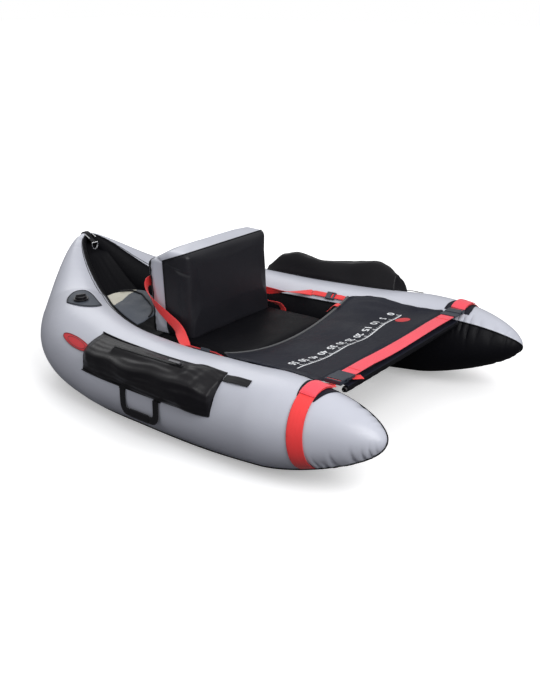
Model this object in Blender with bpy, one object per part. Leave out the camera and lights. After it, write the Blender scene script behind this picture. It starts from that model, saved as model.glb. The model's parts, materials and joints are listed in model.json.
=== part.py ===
"""Belly boat (float tube): a U of two air pontoons, seat, folding backrest, apron and side bags.

Metres, +Z up, bows toward -Y, origin on the floor at the middle of the plan.
"""
from math import atan2, ceil, cos, hypot, pi, radians, sin, sqrt

import bmesh
import bpy
from mathutils import Euler, Matrix, Vector

# Overall sizes
LENGTH = 1.497
PITCH = 0.860                # between the pontoon centrelines at the bows
TUBE_RADIUS = 0.132
PEAK_HEIGHT = 0.389          # centre of the stern peak above the floor
BOW_TAPER = 0.350            # length over which a bow closes to its tip
TIP_RADIUS = 0.004
PEAK_RADIUS = 0.014

# Places along Y, which move with the length: shares of half LENGTH
CROSS_ALONG_SHARE = -0.7401
APRON_FRONT_SHARE = -0.7722
APRON_CORNER_SHARE = -0.7001   # ahead of this the apron leaves the tubes
APRON_REAR_SHARE = -0.2298
TUBE_STRAP_FRONT_SHARE = -0.2084
ADJUSTER_ALONG_SHARE = -0.1309
SIDE_STRAP_END_SHARE = -0.0134   # where the side strap reaches its pontoon
BAG_FRONT_SHARE = -0.4008
BAG_REAR_SHARE = 0.2832
HANDLE_ALONG_SHARE = -0.0267
SEAT_FRONT_SHARE = -0.2485
SEAT_REAR_SHARE = 0.3206
SLING_REAR_SHARE = 0.3407
BACK_FRONT_SHARE = 0.0935
CARGO_FRONT_SHARE = 0.3874
CARGO_REAR_SHARE = 0.9550     # its sheet climbs between the pontoons to the stern
BACK_DEPTH_SHARE = 0.2218
BACK_FRONT_SEAM_SHARE = 0.5843
BACK_REAR_SEAM_SHARE = 0.9277
FLAP_FRONT_SHARE = 0.3808
FLAP_REAR_SHARE = 0.7482
BADGE_ALONG_SHARE = 0.3848
VALVE_ALONG_SHARE = 0.6012
HALF_LENGTH = LENGTH / 2
CROSS_ALONG = HALF_LENGTH * CROSS_ALONG_SHARE
APRON_FRONT = HALF_LENGTH * APRON_FRONT_SHARE
APRON_CORNER = HALF_LENGTH * APRON_CORNER_SHARE
APRON_REAR = HALF_LENGTH * APRON_REAR_SHARE
TUBE_STRAP_FRONT = HALF_LENGTH * TUBE_STRAP_FRONT_SHARE
ADJUSTER_ALONG = HALF_LENGTH * ADJUSTER_ALONG_SHARE
SIDE_STRAP_END = HALF_LENGTH * SIDE_STRAP_END_SHARE
BAG_FRONT = HALF_LENGTH * BAG_FRONT_SHARE
BAG_REAR = HALF_LENGTH * BAG_REAR_SHARE
HANDLE_ALONG = HALF_LENGTH * HANDLE_ALONG_SHARE
SEAT_FRONT = HALF_LENGTH * SEAT_FRONT_SHARE
SEAT_REAR = HALF_LENGTH * SEAT_REAR_SHARE
SLING_REAR = HALF_LENGTH * SLING_REAR_SHARE
BACK_FRONT = HALF_LENGTH * BACK_FRONT_SHARE
CARGO_FRONT = HALF_LENGTH * CARGO_FRONT_SHARE
CARGO_REAR = HALF_LENGTH * CARGO_REAR_SHARE
FLAP_FRONT = HALF_LENGTH * FLAP_FRONT_SHARE
FLAP_REAR = HALF_LENGTH * FLAP_REAR_SHARE
BADGE_ALONG = HALF_LENGTH * BADGE_ALONG_SHARE
VALVE_ALONG = HALF_LENGTH * VALVE_ALONG_SHARE

# Clearances
GAP = 0.0003                 # between pieces that touch
SKIN_GAP = 0.0005            # under a skin that follows a tube
LIMIT_GAP = 0.0015           # beside pieces that move

# Walls
COVER_WALL = 0.003
BLADDER_WALL = 0.003
WEB_THICKNESS = 0.0025
SHEET_THICKNESS = 0.003
PATCH_THICKNESS = 0.0015

# Where the grey and black covers are sewn together, in degrees round the tube:
# 0 is outward, 90 up, 180 inward, 270 down
OUTER_SEAM = -60.0
INNER_SEAM = 135.0
UPPER_STEPS = 11
LOWER_STEPS = 8
LOWER_LAST = 279.0
PIPING_RADIUS = 0.0028
PIPING_SIDES = 5

# Centreline stations of one pontoon, bow to stern, as shares of the sizes they follow:
# along (half LENGTH), out (half PITCH), height and radius (TUBE_RADIUS), rise (to PEAK_HEIGHT)
STATION_SHARES = (
    (-1.000, 1.000, 1.270, 1.000, 0.000),
    (-0.833, 1.002, 1.230, 1.000, 0.000),
    (-0.545, 0.998, 1.085, 0.990, 0.000),
    (-0.293, 0.966, 0.976, 1.000, 0.000),
    (0.040, 0.935, 0.955, 0.978, 0.000),
    (0.372, 0.853, 0.992, 1.015, 0.000),
    (0.568, 0.747, 1.075, 1.050, 0.010),
    (0.773, 0.490, 1.000, 0.950, 0.125),
    (1.000, 0.000, 1.000, 0.000, 1.000),
)
CURVE_STEP_SHARE = 0.0005     # of the centreline, for its direction
SKIN_STEP_SHARE = 0.002      # of the centreline, for the skin's direction
# How a bow closes: exponents of its profile over BOW_TAPER
BOW_POWER = 1.5
BOW_FULLNESS = 0.58
BOW_STEP_SHARES = (0.0, 0.045, 0.13, 0.26, 0.44, 0.68)
MAIN_STEPS = 17
STERN_STEP_SHARES = (0.89, 0.93, 0.965, 0.985, 1.0)

# Inner air bladder
BLADDER_FIRST = 1            # ring numbers where a bladder starts and ends
BLADDER_LAST = -3

# Inflation valve on the rear shoulder
VALVE_ANGLE = 88.0
VALVE_PORT_RADIUS = 0.0165
VALVE_FLANGE_RADIUS = 0.0245
VALVE_FLANGE_HEIGHT = 0.004
VALVE_STEM_DEPTH = 0.016
VALVE_BORE_RADIUS = 0.011
VALVE_CAP_RADIUS = 0.0185
VALVE_CAP_HEIGHT = 0.007
VALVE_CAP_GRIP_HEIGHT = 0.006
VALVE_CAP_GRIP_WIDTH = 0.006
PATCH_LENGTH = 0.145
PATCH_WIDTH = 0.110
PATCH_STEPS = 8
PATCH_FLAT_SHARE = 0.75       # how far its flat side lies from the middle
PATCH_END_SHARE = 0.12        # width of its round tip

# Plain oval badge on the outer rear quarter
BADGE_LENGTH = 0.140
BADGE_WIDTH = 0.044
BADGE_ANGLE = 38.0

# Side bags
BAG_LOW_ANGLE = 9.0
RIGHT_BAG_TOP_ANGLE = 70.0
LEFT_BAG_TOP_ANGLE = 82.0
BAG_SWELL = 0.062
BAG_EDGE = 0.006
BAG_ZIP_WIDTH = 0.012
BAG_ZIP_LENGTH = 0.280
BAG_ZIP_THICKNESS = 0.002
BAG_ZIP_SINK = 0.001
ZIP_PLACE_SHARE = 0.70      # where the zip lies between the bag's low and top edges
ZIP_SLIDER_LENGTH = 0.014
ZIP_SLIDER_WIDTH = 0.010
ZIP_SLIDER_HEIGHT = 0.005
ZIP_PULL_LENGTH = 0.032
ZIP_PULL_THICKNESS = 0.002
TAB_LENGTH = 0.090
TAB_WIDTH = 0.024

# Carry handle under each bag
HANDLE_LENGTH = 0.160
HANDLE_DROP = 0.076
HANDLE_WEB = 0.025
HANDLE_THICKNESS = 0.003

# Webbing ring round each pontoon and the strap across the bows
WEB_WIDTH = 0.045
CROSS_HEIGHT = 0.2645
CROSS_SAG = 0.004
STRAP_SEAM_ANGLE = 4.0       # how far above the outer seam its sewn end lies
CORNER_FIRST = 7             # which of the cover's edges a corner patch starts at
CORNER_LENGTH = 0.080

# Side-release buckles
SOCKET_END = 0.369           # outer end of each socket from the middle
SOCKET_LENGTH = 0.040
SOCKET_WIDTH = 0.052
SOCKET_HEIGHT = 0.013
SOCKET_WALL = 0.0022
SOCKET_SLOT = 0.006
PLUG_BASE = 0.032
PLUG_BAR = 0.004
PRONG_LENGTH = 0.024
PRONG_WIDTH = 0.008
PLUG_CLEARANCE = 0.0004
PLUG_TRAVEL = 0.026

# Apron with its front hem and spreader bar
APRON_FRONT_HALF = 0.328
APRON_FRONT_DROP = 0.009     # how far its front lies under the strap's buckles
APRON_SAG = 0.052
APRON_FOLD = 0.006
HEM_RADIUS = 0.0095
HEM_WALL = 0.0015
BAR_RADIUS = 0.0072
BAR_WALL = 0.0015
BAR_HALF = 0.334
BINDING_LENGTH = 0.009
BINDING_THICKNESS = 0.005
PULL_TAB_OUT = 0.284
PULL_TAB_LENGTH = 0.042
PULL_TAB_WIDTH = 0.022
PULL_TAB_DROP = 0.026

# Seat
SEAT_TOP = 0.197
SEAT_WIDTH = 0.500
SEAT_DRAW_SHARE = 0.02       # how far its sides pull in between the corners

# Backrest
BACK_WIDTH = 0.412
BACK_HEIGHT = 0.273
BACK_DEPTH = HALF_LENGTH * BACK_DEPTH_SHARE
BACK_FRONT_SEAM = BACK_DEPTH * BACK_FRONT_SEAM_SHARE   # depth of the black front cover
BACK_REAR_SEAM = BACK_DEPTH * BACK_REAR_SEAM_SHARE     # where the grey gusset meets the rear panel
BACK_LEAN_SHARE = 0.050      # backward slope of its faces
BACK_WALL = 0.003
BACK_DRAW_SHARE = 0.02
SIDE_STRAP_WIDTH = 0.032
FACET_SHARE = 0.44           # where a strap lies across its flat on the pontoon
TUBE_STRAP_RISE = 0.004      # how far the strap lifts off the tube between its sewn ends
ADJUSTER_LENGTH = 0.034
ADJUSTER_WALL = 0.003
ADJUSTER_TRAVEL = 0.030

# Side strap on the backrest, rear to front: out over half BACK_WIDTH, thicknesses beyond that,
# ahead of the rear face over BACK_DEPTH, up over BACK_HEIGHT; then the way its face looks
SIDE_STRAP_SHARES = (
    (0.76, 0, 0.0, 0.604),
    (0.96, 0, 0.0, 0.549),
    (0.98, 3, 0.06, 0.476),
    (0.98, 4, 0.24, 0.337),
    (0.98, 7, 0.50, 0.227),
    (0.98, 15, 0.86, 0.168),
)
SIDE_STRAP_FACINGS = ((0.1, 1, 0), (0.4, 1, 0), (1, 0.6, 0), (1, 0.2, 0.1), (1, 0, 0.4), (0.4, 0, 0.9))
# Base strap: out from the backrest's side to the seat's, back over BACK_DEPTH, up over BACK_HEIGHT
BASE_STRAP_SHARES = (
    (0.0, 0.313, 0.271),
    (0.018, 0.241, 0.1685),
    (0.329, 0.072, 0.0513),
    (1.11, -0.096, -0.022),
    (1.11, -0.205, -0.1465),
)
BASE_STRAP_FACINGS = ((1, 0, 0), (1, 0, 0.2), (0.6, 0, 0.8), (0.8, 0, 0.6), (1, 0, 0.2))

# Cargo space behind the backrest
CARGO_SAG = 0.022
FLAP_WIDTH = 0.125
FLAP_RISE = 0.022
FLAP_BINDING = 0.098         # from the seam to the bound line
FLAP_BINDING_RADIUS = 0.003

# Stern tab and its ring
STERN_TAB_RADIUS = 0.0178
STERN_TAB_WIDTH = 0.020
STERN_TAB_FRONT = 0.040      # how far the tab reaches forward of the peak
STERN_TAB_DROP = 0.014
LOOP_HALF_WIDTH = 0.013
LOOP_HEIGHT = 0.024
LOOP_WIRE = 0.0022

COLOURS = {
    'cover_grey': (0.56, 0.57, 0.61, 0.45, 0.0),
    'nylon_black': (0.018, 0.018, 0.022, 0.60, 0.0),
    'bladder_film': (0.30, 0.32, 0.34, 0.35, 0.0),
    'piping_black': (0.010, 0.010, 0.012, 0.55, 0.0),
    'webbing_red': (0.75, 0.035, 0.030, 0.65, 0.0),
    'webbing_black': (0.020, 0.020, 0.024, 0.70, 0.0),
    'slate_plastic': (0.055, 0.065, 0.085, 0.40, 0.0),
    'slate_fabric': (0.085, 0.095, 0.115, 0.60, 0.0),
    'badge_red': (0.60, 0.030, 0.030, 0.40, 0.0),
    'apron_navy': (0.022, 0.026, 0.035, 0.65, 0.0),
    'hem_grey': (0.16, 0.17, 0.18, 0.60, 0.0),
    'bar_metal': (0.55, 0.56, 0.58, 0.35, 1.0),
    'ring_metal': (0.60, 0.61, 0.62, 0.25, 1.0),
}


def clear_scene():
    for item in list(bpy.data.objects):
        bpy.data.objects.remove(item, do_unlink=True)


def material(name):
    found = bpy.data.materials.get(name)
    if found:
        return found
    made = bpy.data.materials.new(name)
    made.use_nodes = True
    red, green, blue, rough, metal = COLOURS[name]
    shader = made.node_tree.nodes['Principled BSDF']
    shader.inputs['Base Color'].default_value = (red, green, blue, 1.0)
    shader.inputs['Roughness'].default_value = rough
    shader.inputs['Metallic'].default_value = metal
    return made


def add_object(name, mesh_data, finish, crease=40.0):
    """Make an object from a bmesh, with its faces outward and round parts shaded smooth."""
    bmesh.ops.recalc_face_normals(mesh_data, faces=mesh_data.faces)
    if mesh_data.calc_volume(signed=True) < 0:
        bmesh.ops.reverse_faces(mesh_data, faces=mesh_data.faces)
    mesh = bpy.data.meshes.new(name)
    mesh_data.to_mesh(mesh)
    mesh_data.free()
    mesh.shade_smooth()
    mesh.set_sharp_from_angle(angle=radians(crease))
    mesh.materials.append(material(finish))
    item = bpy.data.objects.new(name, mesh)
    bpy.context.collection.objects.link(item)
    return item


def hide_cutter(item):
    item.hide_render = True
    item.display_type = 'WIRE'
    return item


def cut(item, cutter, name='Cut'):
    boolean = item.modifiers.new(name, 'BOOLEAN')
    boolean.operation = 'DIFFERENCE'
    boolean.solver = 'EXACT'
    boolean.object = cutter


# The pontoon's centreline and rings

def station_points():
    bow_proud = PIPING_RADIUS * 2 + SKIN_GAP * 2
    stern_proud = STERN_TAB_RADIUS + WEB_THICKNESS / 2
    middle = (bow_proud - stern_proud) / 2
    rows = []
    for along, out, height, radius, rise in STATION_SHARES:
        lift = (PEAK_HEIGHT - TUBE_RADIUS) * rise
        rows.append(Vector((PITCH / 2 * out, middle + HALF_LENGTH * along,
                            TUBE_RADIUS * height + lift, TUBE_RADIUS * radius)))
    rows[-1][3] = PEAK_RADIUS
    return rows


def mirrored(row):
    return Vector((-row[0], row[1], row[2], row[3]))


def build_curve():
    """Chord-length Hermite curve through the stations: knots, rows and slopes."""
    rows = station_points()
    padded = [2 * rows[0] - rows[1]] + rows + [mirrored(rows[-2])]
    chords = [(b.xyz - a.xyz).length for a, b in zip(padded, padded[1:])]
    slopes = []
    for i in range(1, len(padded) - 1):
        before = (padded[i] - padded[i - 1]) / chords[i - 1]
        after = (padded[i + 1] - padded[i]) / chords[i]
        blend = chords[i - 1] + chords[i]
        slopes.append((before * chords[i] + after * chords[i - 1]) / blend)
    knots = [0.0]
    for chord in chords[1:-1]:
        knots.append(knots[-1] + chord)
    return knots, rows, slopes


KNOTS, ROWS, SLOPES = build_curve()
PATH_LENGTH = KNOTS[-1]


def centre(distance):
    """Centre point and tube radius at a distance along the pontoon from its bow tip."""
    distance = min(max(distance, 0.0), PATH_LENGTH)
    i = max(k for k, knot in enumerate(KNOTS[:-1]) if knot <= distance)
    chord = KNOTS[i + 1] - KNOTS[i]
    t = (distance - KNOTS[i]) / chord
    row = (ROWS[i] * (2 * t**3 - 3 * t**2 + 1) + SLOPES[i] * chord * (t**3 - 2 * t**2 + t)
           + ROWS[i + 1] * (3 * t**2 - 2 * t**3) + SLOPES[i + 1] * chord * (t**3 - t**2))
    radius = row[3]
    if distance < BOW_TAPER:
        run = 1 - distance / BOW_TAPER
        radius = TIP_RADIUS + (radius - TIP_RADIUS) * (1 - run**BOW_POWER)**BOW_FULLNESS
    return row.xyz, max(radius, TIP_RADIUS)


def frame_at(distance):
    """Centre, radius, and the outward and upward directions of the ring there."""
    step = PATH_LENGTH * CURVE_STEP_SHARE
    here, radius = centre(distance)
    if distance >= PATH_LENGTH - step:
        tangent = Vector((-1, 0, 0))
    else:
        tangent = (centre(distance + step)[0] - centre(max(distance - step, 0))[0]).normalized()
    outward = Vector((tangent.y, -tangent.x, 0)).normalized()
    return here, radius, outward, outward.cross(tangent)


def tube_point(distance, angle, lift, side):
    """Point on a pontoon, lifted off its outside; the bottom is cut flat where it rests."""
    here, radius, outward, upward = frame_at(distance)
    reach = max(radius + lift, TIP_RADIUS / 4)
    turn = radians(angle)
    point = here + (outward * cos(turn) + upward * sin(turn)) * reach
    point.z = max(point.z, -lift)
    point.x = max(point.x, GAP / 2)
    return Vector((point.x * side, point.y, point.z))


def skin_normal(distance, angle, side):
    """Outward direction square to the pontoon's skin."""
    step = PATH_LENGTH * SKIN_STEP_SHARE
    last = PATH_LENGTH - step
    ahead = tube_point(min(distance, last) + step, angle, 0, side)
    along = ahead - tube_point(max(min(distance, last) - step, 0), angle, 0, side)
    around = tube_point(distance, angle + 1, 0, side) - tube_point(distance, angle - 1, 0, side)
    normal = along.cross(around).normalized()
    here = centre(distance)[0]
    outward = tube_point(distance, angle, 0, side) - Vector((here.x * side, here.y, here.z))
    return normal if normal.dot(outward) > 0 else -normal


def skin_point(distance, angle, lift, side):
    """Point lifted off the skin square to it, where the pontoon tapers too."""
    return tube_point(distance, angle, 0, side) + skin_normal(distance, angle, side) * lift


def facet_point(distance, lift, side):
    """Point on the flat between the last two edges of the upper cover, where the red straps lie."""
    upper = tube_point(distance, UPPER_ANGLES[-2], 0, side)
    seam = tube_point(distance, UPPER_ANGLES[-1], 0, side)
    return upper.lerp(seam, FACET_SHARE) + facet_normal(distance, side) * lift


def facet_normal(distance, side):
    around = tube_point(distance, UPPER_ANGLES[-1], 0, side) - tube_point(distance, UPPER_ANGLES[-2], 0, side)
    step = PATH_LENGTH * SKIN_STEP_SHARE
    along = tube_point(distance + step, UPPER_ANGLES[-2], 0, side) - tube_point(distance - step,
                                                                                UPPER_ANGLES[-2], 0, side)
    normal = along.cross(around).normalized()
    return normal if normal.z > 0 else -normal


def distance_at(along):
    """Distance from the bow tip at which the centreline passes the given place along Y."""
    low, high = 0.0, PATH_LENGTH
    while high - low > GAP:
        middle = (low + high) / 2
        if centre(middle)[0].y < along:
            low = middle
        else:
            high = middle
    return (low + high) / 2


def steps(first, last, count):
    return [first + (last - first) * i / count for i in range(count + 1)]


def ring_distances():
    places = [BOW_TAPER * share for share in BOW_STEP_SHARES]
    start = BOW_TAPER
    end = PATH_LENGTH * STERN_STEP_SHARES[0]
    places += steps(start, end, MAIN_STEPS)
    places += [PATH_LENGTH * share for share in STERN_STEP_SHARES[1:]]
    return places


RINGS = ring_distances()
UPPER_ANGLES = steps(OUTER_SEAM, INNER_SEAM, UPPER_STEPS)
LOWER_ANGLES = steps(INNER_SEAM, LOWER_LAST, LOWER_STEPS) + [OUTER_SEAM + 360]
ALL_ANGLES = UPPER_ANGLES + LOWER_ANGLES[1:-1]


def rings_between(first, last):
    inside = [d for d in RINGS if first + GAP < d < last - GAP]
    return [first] + inside + [last]


def angles_between(low, high, knots):
    inside = [a for a in knots if low + 1 < a < high - 1]
    return [low] + inside + [high]


def grid_solid(outer, inner, closed=False):
    """Closed solid between two grids of points; closed joins the last column to the first."""
    data = bmesh.new()
    rows, columns = len(outer), len(outer[0])
    top = [[data.verts.new(p) for p in row] for row in outer]
    low = [[data.verts.new(p) for p in row] for row in inner]
    span = columns if closed else columns - 1
    for i in range(rows - 1):
        for j in range(span):
            k = (j + 1) % columns
            data.faces.new((top[i][j], top[i][k], top[i + 1][k], top[i + 1][j]))
            data.faces.new((low[i][j], low[i + 1][j], low[i + 1][k], low[i][k]))
    for i in (0, rows - 1):
        for j in range(span):
            k = (j + 1) % columns
            data.faces.new((top[i][j], top[i][k], low[i][k], low[i][j]))
    if not closed:
        for i in range(rows - 1):
            for j in (0, columns - 1):
                data.faces.new((top[i][j], top[i + 1][j], low[i + 1][j], low[i][j]))
    return data


def tube_skin(distances, angles, low, high, side, closed=False):
    """Solid skin on a pontoon between two lifts, over the given rings and angles."""
    grids = []
    for lift in (high, low):
        grids.append([[tube_point(d, a, lift, side) for a in angles] for d in distances])
    return grid_solid(grids[0], grids[1], closed)


def ribbon(points, faces, width, thickness):
    """Flat webbing along points; faces holds the outward normal at each point."""
    upper, lower = [], []
    for i, point in enumerate(points):
        ahead = points[min(i + 1, len(points) - 1)]
        behind = points[max(i - 1, 0)]
        across = (ahead - behind).cross(faces[i]).normalized() * width / 2
        off = faces[i].normalized() * thickness / 2
        upper.append([point - across + off, point + across + off])
        lower.append([point - across - off, point + across - off])
    return grid_solid(upper, lower)


def box_data(size, middle):
    data = bmesh.new()
    bmesh.ops.create_cube(data, size=1, matrix=Matrix.Translation(middle) @ Matrix.Diagonal((*size, 1)))
    return data


def cylinder_data(radius, depth, sides, matrix):
    data = bmesh.new()
    bmesh.ops.create_cone(data, cap_ends=True, cap_tris=False, segments=sides, radius1=radius,
                          radius2=radius, depth=depth, matrix=matrix)
    return data


def side_name(side, name):
    return ('left_' if side > 0 else 'right_') + name


def seam_angle(angle, distance, lift, away):
    """A seam's angle moved by half a gap, away being +1 or -1 round the tube."""
    reach = max(centre(distance)[1] + lift, TIP_RADIUS / 2)
    return angle + away * GAP / 2 / reach * 180 / pi


def cover_shell(name, side, angles, finish):
    """One half of a pontoon's cover, sewn to the other along two seams."""
    outer, inner = [], []
    for d in RINGS:
        deep, sink = d, -COVER_WALL
        if d < COVER_WALL:
            deep = d + COVER_WALL
            sink = TIP_RADIUS - COVER_WALL - centre(deep)[1]
        ring_out, ring_in = [], []
        for j, angle in enumerate(angles):
            away = 1 if j == 0 else -1 if j == len(angles) - 1 else 0
            ring_out.append(tube_point(d, seam_angle(angle, d, 0, away), 0, side))
            ring_in.append(tube_point(deep, seam_angle(angle, deep, sink, away), sink, side))
        outer.append(ring_out)
        inner.append(ring_in)
    return add_object(name, grid_solid(outer, inner), finish)


def closed_tube(distances, angles, lift, side, flip):
    data = bmesh.new()
    rings = [[data.verts.new(tube_point(d, a, lift, side)) for a in angles] for d in distances]
    for first, second in zip(rings, rings[1:]):
        for j in range(len(angles)):
            k = (j + 1) % len(angles)
            data.faces.new((first[j], first[k], second[k], second[j]))
    data.faces.new(rings[0])
    data.faces.new(rings[-1])
    bmesh.ops.recalc_face_normals(data, faces=data.faces)
    if flip:
        bmesh.ops.reverse_faces(data, faces=data.faces)
    return data


def bladder(side):
    """Thin air bladder with an open port for the valve."""
    distances = RINGS[BLADDER_FIRST:BLADDER_LAST]
    angles = ALL_ANGLES[::2]
    outside = -(COVER_WALL + SKIN_GAP)
    data = closed_tube(distances, angles, outside, side, False)
    distances[0] += BLADDER_WALL
    distances[-1] -= BLADDER_WALL
    hollow = closed_tube(distances, angles, outside - BLADDER_WALL, side, True)
    inner_mesh = bpy.data.meshes.new('hollow')
    hollow.to_mesh(inner_mesh)
    hollow.free()
    data.from_mesh(inner_mesh)
    bpy.data.meshes.remove(inner_mesh)
    mesh = bpy.data.meshes.new(side_name(side, 'bladder'))
    data.to_mesh(mesh)
    data.free()
    mesh.materials.append(material('bladder_film'))
    mesh.shade_smooth()
    item = bpy.data.objects.new(mesh.name, mesh)
    bpy.context.collection.objects.link(item)
    return item


def sweep_round(points, radius, sides):
    """Round bar along points, with flat ends."""
    data = bmesh.new()
    rings = []
    previous = None
    for i, point in enumerate(points):
        ahead = points[min(i + 1, len(points) - 1)]
        behind = points[max(i - 1, 0)]
        tangent = (ahead - behind).normalized()
        if previous is None:
            previous = tangent.orthogonal().normalized()
        normal = (previous - tangent * previous.dot(tangent)).normalized()
        previous = normal
        binormal = tangent.cross(normal)
        rings.append([data.verts.new(point + (normal * cos(2 * pi * k / sides)
                                              + binormal * sin(2 * pi * k / sides)) * radius)
                      for k in range(sides)])
    for first, second in zip(rings, rings[1:]):
        for j in range(sides):
            k = (j + 1) % sides
            data.faces.new((first[j], first[k], second[k], second[j]))
    data.faces.new(rings[0])
    data.faces.new(rings[-1])
    return data


def piping(side):
    """Bead over the seam: from the stern along the inside, round the bow tip and back."""
    lift = PIPING_RADIUS + SKIN_GAP * 2
    places = RINGS[:-1] + [PATH_LENGTH - STERN_TAB_WIDTH]
    inside = [skin_point(d, INNER_SEAM, lift, side) for d in reversed(places)]
    outside = [skin_point(d, OUTER_SEAM, lift, side) for d in places]
    tip = tube_point(0, INNER_SEAM, 0, side).lerp(tube_point(0, OUTER_SEAM, 0, side), 0.5)
    tip.y = centre(0)[0].y - lift
    points = inside + [tip] + outside
    return add_object(side_name(side, 'seam_piping'), sweep_round(points, PIPING_RADIUS, PIPING_SIDES),
                      'piping_black')


# Valve group

def valve_frame(side):
    """Matrix whose Z leaves the tube at the valve, with its Y along the pontoon."""
    place = distance_at(VALVE_ALONG)
    spot = tube_point(place, VALVE_ANGLE, 0, side)
    normal = skin_normal(place, VALVE_ANGLE, side)
    ahead = (tube_point(place + GAP * 10, VALVE_ANGLE, 0, side) - spot).normalized()
    across = ahead.cross(normal).normalized()
    ahead = normal.cross(across)
    turn = Matrix((across, ahead, normal)).transposed().to_4x4()
    return Matrix.Translation(spot) @ turn


def patch_solid(place, angle, length, width, low, high, side, flat_side):
    """Oval or dome shaped patch on the tube, built as strips across its length."""
    grid_high, grid_low = [], []
    radius = centre(place)[1]
    first, last = place - length / 2, place + length / 2
    places = sorted(steps(first, last, PATCH_STEPS) + rings_between(first, last)[1:-1])
    for distance in places:
        share = (place - distance) / length * 2
        dome = max(sqrt(max(1 - share**2, 0.0)), PATCH_END_SHARE)
        flat = PATCH_FLAT_SHARE * max(1 - share**8, PATCH_END_SHARE) if flat_side else dome
        half = width / 2 / radius * 180 / pi
        row = steps(angle - half * flat, angle + half * dome, 6)
        grid_high.append([tube_point(distance, a, high, side) for a in row])
        grid_low.append([tube_point(distance, a, low, side) for a in row])
    return grid_solid(grid_high, grid_low)


def valve(side, cover, air):
    frame = valve_frame(side)
    through = COVER_WALL + BLADDER_WALL + VALVE_STEM_DEPTH * 2
    port = add_object(side_name(side, 'port_cutter'),
                      cylinder_data(VALVE_PORT_RADIUS, through, 16, frame), 'piping_black')
    hide_cutter(port)
    cut(cover, port)
    cut(air, port)
    place = distance_at(VALVE_ALONG)
    patch = add_object(side_name(side, 'valve_patch'),
                       patch_solid(place, VALVE_ANGLE, PATCH_LENGTH, PATCH_WIDTH, SKIN_GAP * 2,
                                   SKIN_GAP * 2 + PATCH_THICKNESS, side, True), 'slate_fabric')
    cut(patch, port)
    base = SKIN_GAP * 2 + PATCH_THICKNESS + GAP * 3
    data = cylinder_data(VALVE_FLANGE_RADIUS, VALVE_FLANGE_HEIGHT, 24,
                         Matrix.Translation((0, 0, base + VALVE_FLANGE_HEIGHT / 2)))
    body = add_object(side_name(side, 'valve_body'), data, 'slate_plastic', crease=30)
    stem_height = VALVE_STEM_DEPTH + base + VALVE_FLANGE_HEIGHT / 2
    stem = add_object(side_name(side, 'stem_guide'),
                      cylinder_data(VALVE_PORT_RADIUS - GAP, stem_height, 24,
                                    Matrix.Translation((0, 0, stem_height / 2 - VALVE_STEM_DEPTH))),
                      'slate_plastic')
    bore = add_object(side_name(side, 'bore_cutter'),
                      cylinder_data(VALVE_BORE_RADIUS, VALVE_STEM_DEPTH * 3, 20, Matrix()), 'slate_plastic')
    join = body.modifiers.new('Stem', 'BOOLEAN')
    join.operation = 'UNION'
    join.object = hide_cutter(stem)
    cut(body, hide_cutter(bore), 'Bore')
    for item in (body, stem, bore):
        item.matrix_world = frame
    cap_base = base + VALVE_FLANGE_HEIGHT + GAP
    cap_data = cylinder_data(VALVE_CAP_RADIUS, VALVE_CAP_HEIGHT, 24,
                             Matrix.Translation((0, 0, cap_base + VALVE_CAP_HEIGHT / 2)))
    cap = add_object(side_name(side, 'valve_cap'), cap_data, 'slate_plastic', crease=30)
    grip_size = (VALVE_CAP_RADIUS * 1.7, VALVE_CAP_GRIP_WIDTH, VALVE_CAP_GRIP_HEIGHT)
    grip = add_object(side_name(side, 'grip_guide'),
                      box_data(grip_size, (0, 0, cap_base + VALVE_CAP_HEIGHT + grip_size[2] / 2 - GAP)),
                      'slate_plastic')
    join = cap.modifiers.new('Grip', 'BOOLEAN')
    join.operation = 'UNION'
    join.object = hide_cutter(grip)
    for item in (cap, grip):
        item.matrix_world = frame


def badge(side):
    data = patch_solid(distance_at(BADGE_ALONG), BADGE_ANGLE, BADGE_LENGTH, BADGE_WIDTH,
                       SKIN_GAP * 2, SKIN_GAP * 2 + PATCH_THICKNESS, side, False)
    return add_object(side_name(side, 'badge'), data, 'badge_red')


# Side bags: thickness over the tube as shares of BAG_SWELL, from the low to the top edge
RIGHT_BAG_PROFILE_SHARES = (0.0, 0.30, 0.62, 1.00, 0.78, 0.42, 0.0)
LEFT_BAG_PROFILE_SHARES = (0.0, 0.36, 0.705, 0.84, 1.02, 1.22, 0.0)
# and along the bag, front to rear
RIGHT_BAG_RUN_SHARES = (0.10, 0.80, 1.00, 1.04, 1.00, 0.92, 0.84, 0.70, 0.15)
LEFT_BAG_RUN_SHARES = (0.15, 0.80, 1.05, 1.04, 0.94, 0.90, 0.98, 0.92, 0.12)


def share_at(shares, t):
    place = min(max(t, 0.0), 1.0) * (len(shares) - 1)
    i = min(int(place), len(shares) - 2)
    blend = place - i
    blend = blend * blend * (3 - 2 * blend)
    return shares[i] + (shares[i + 1] - shares[i]) * blend


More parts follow.
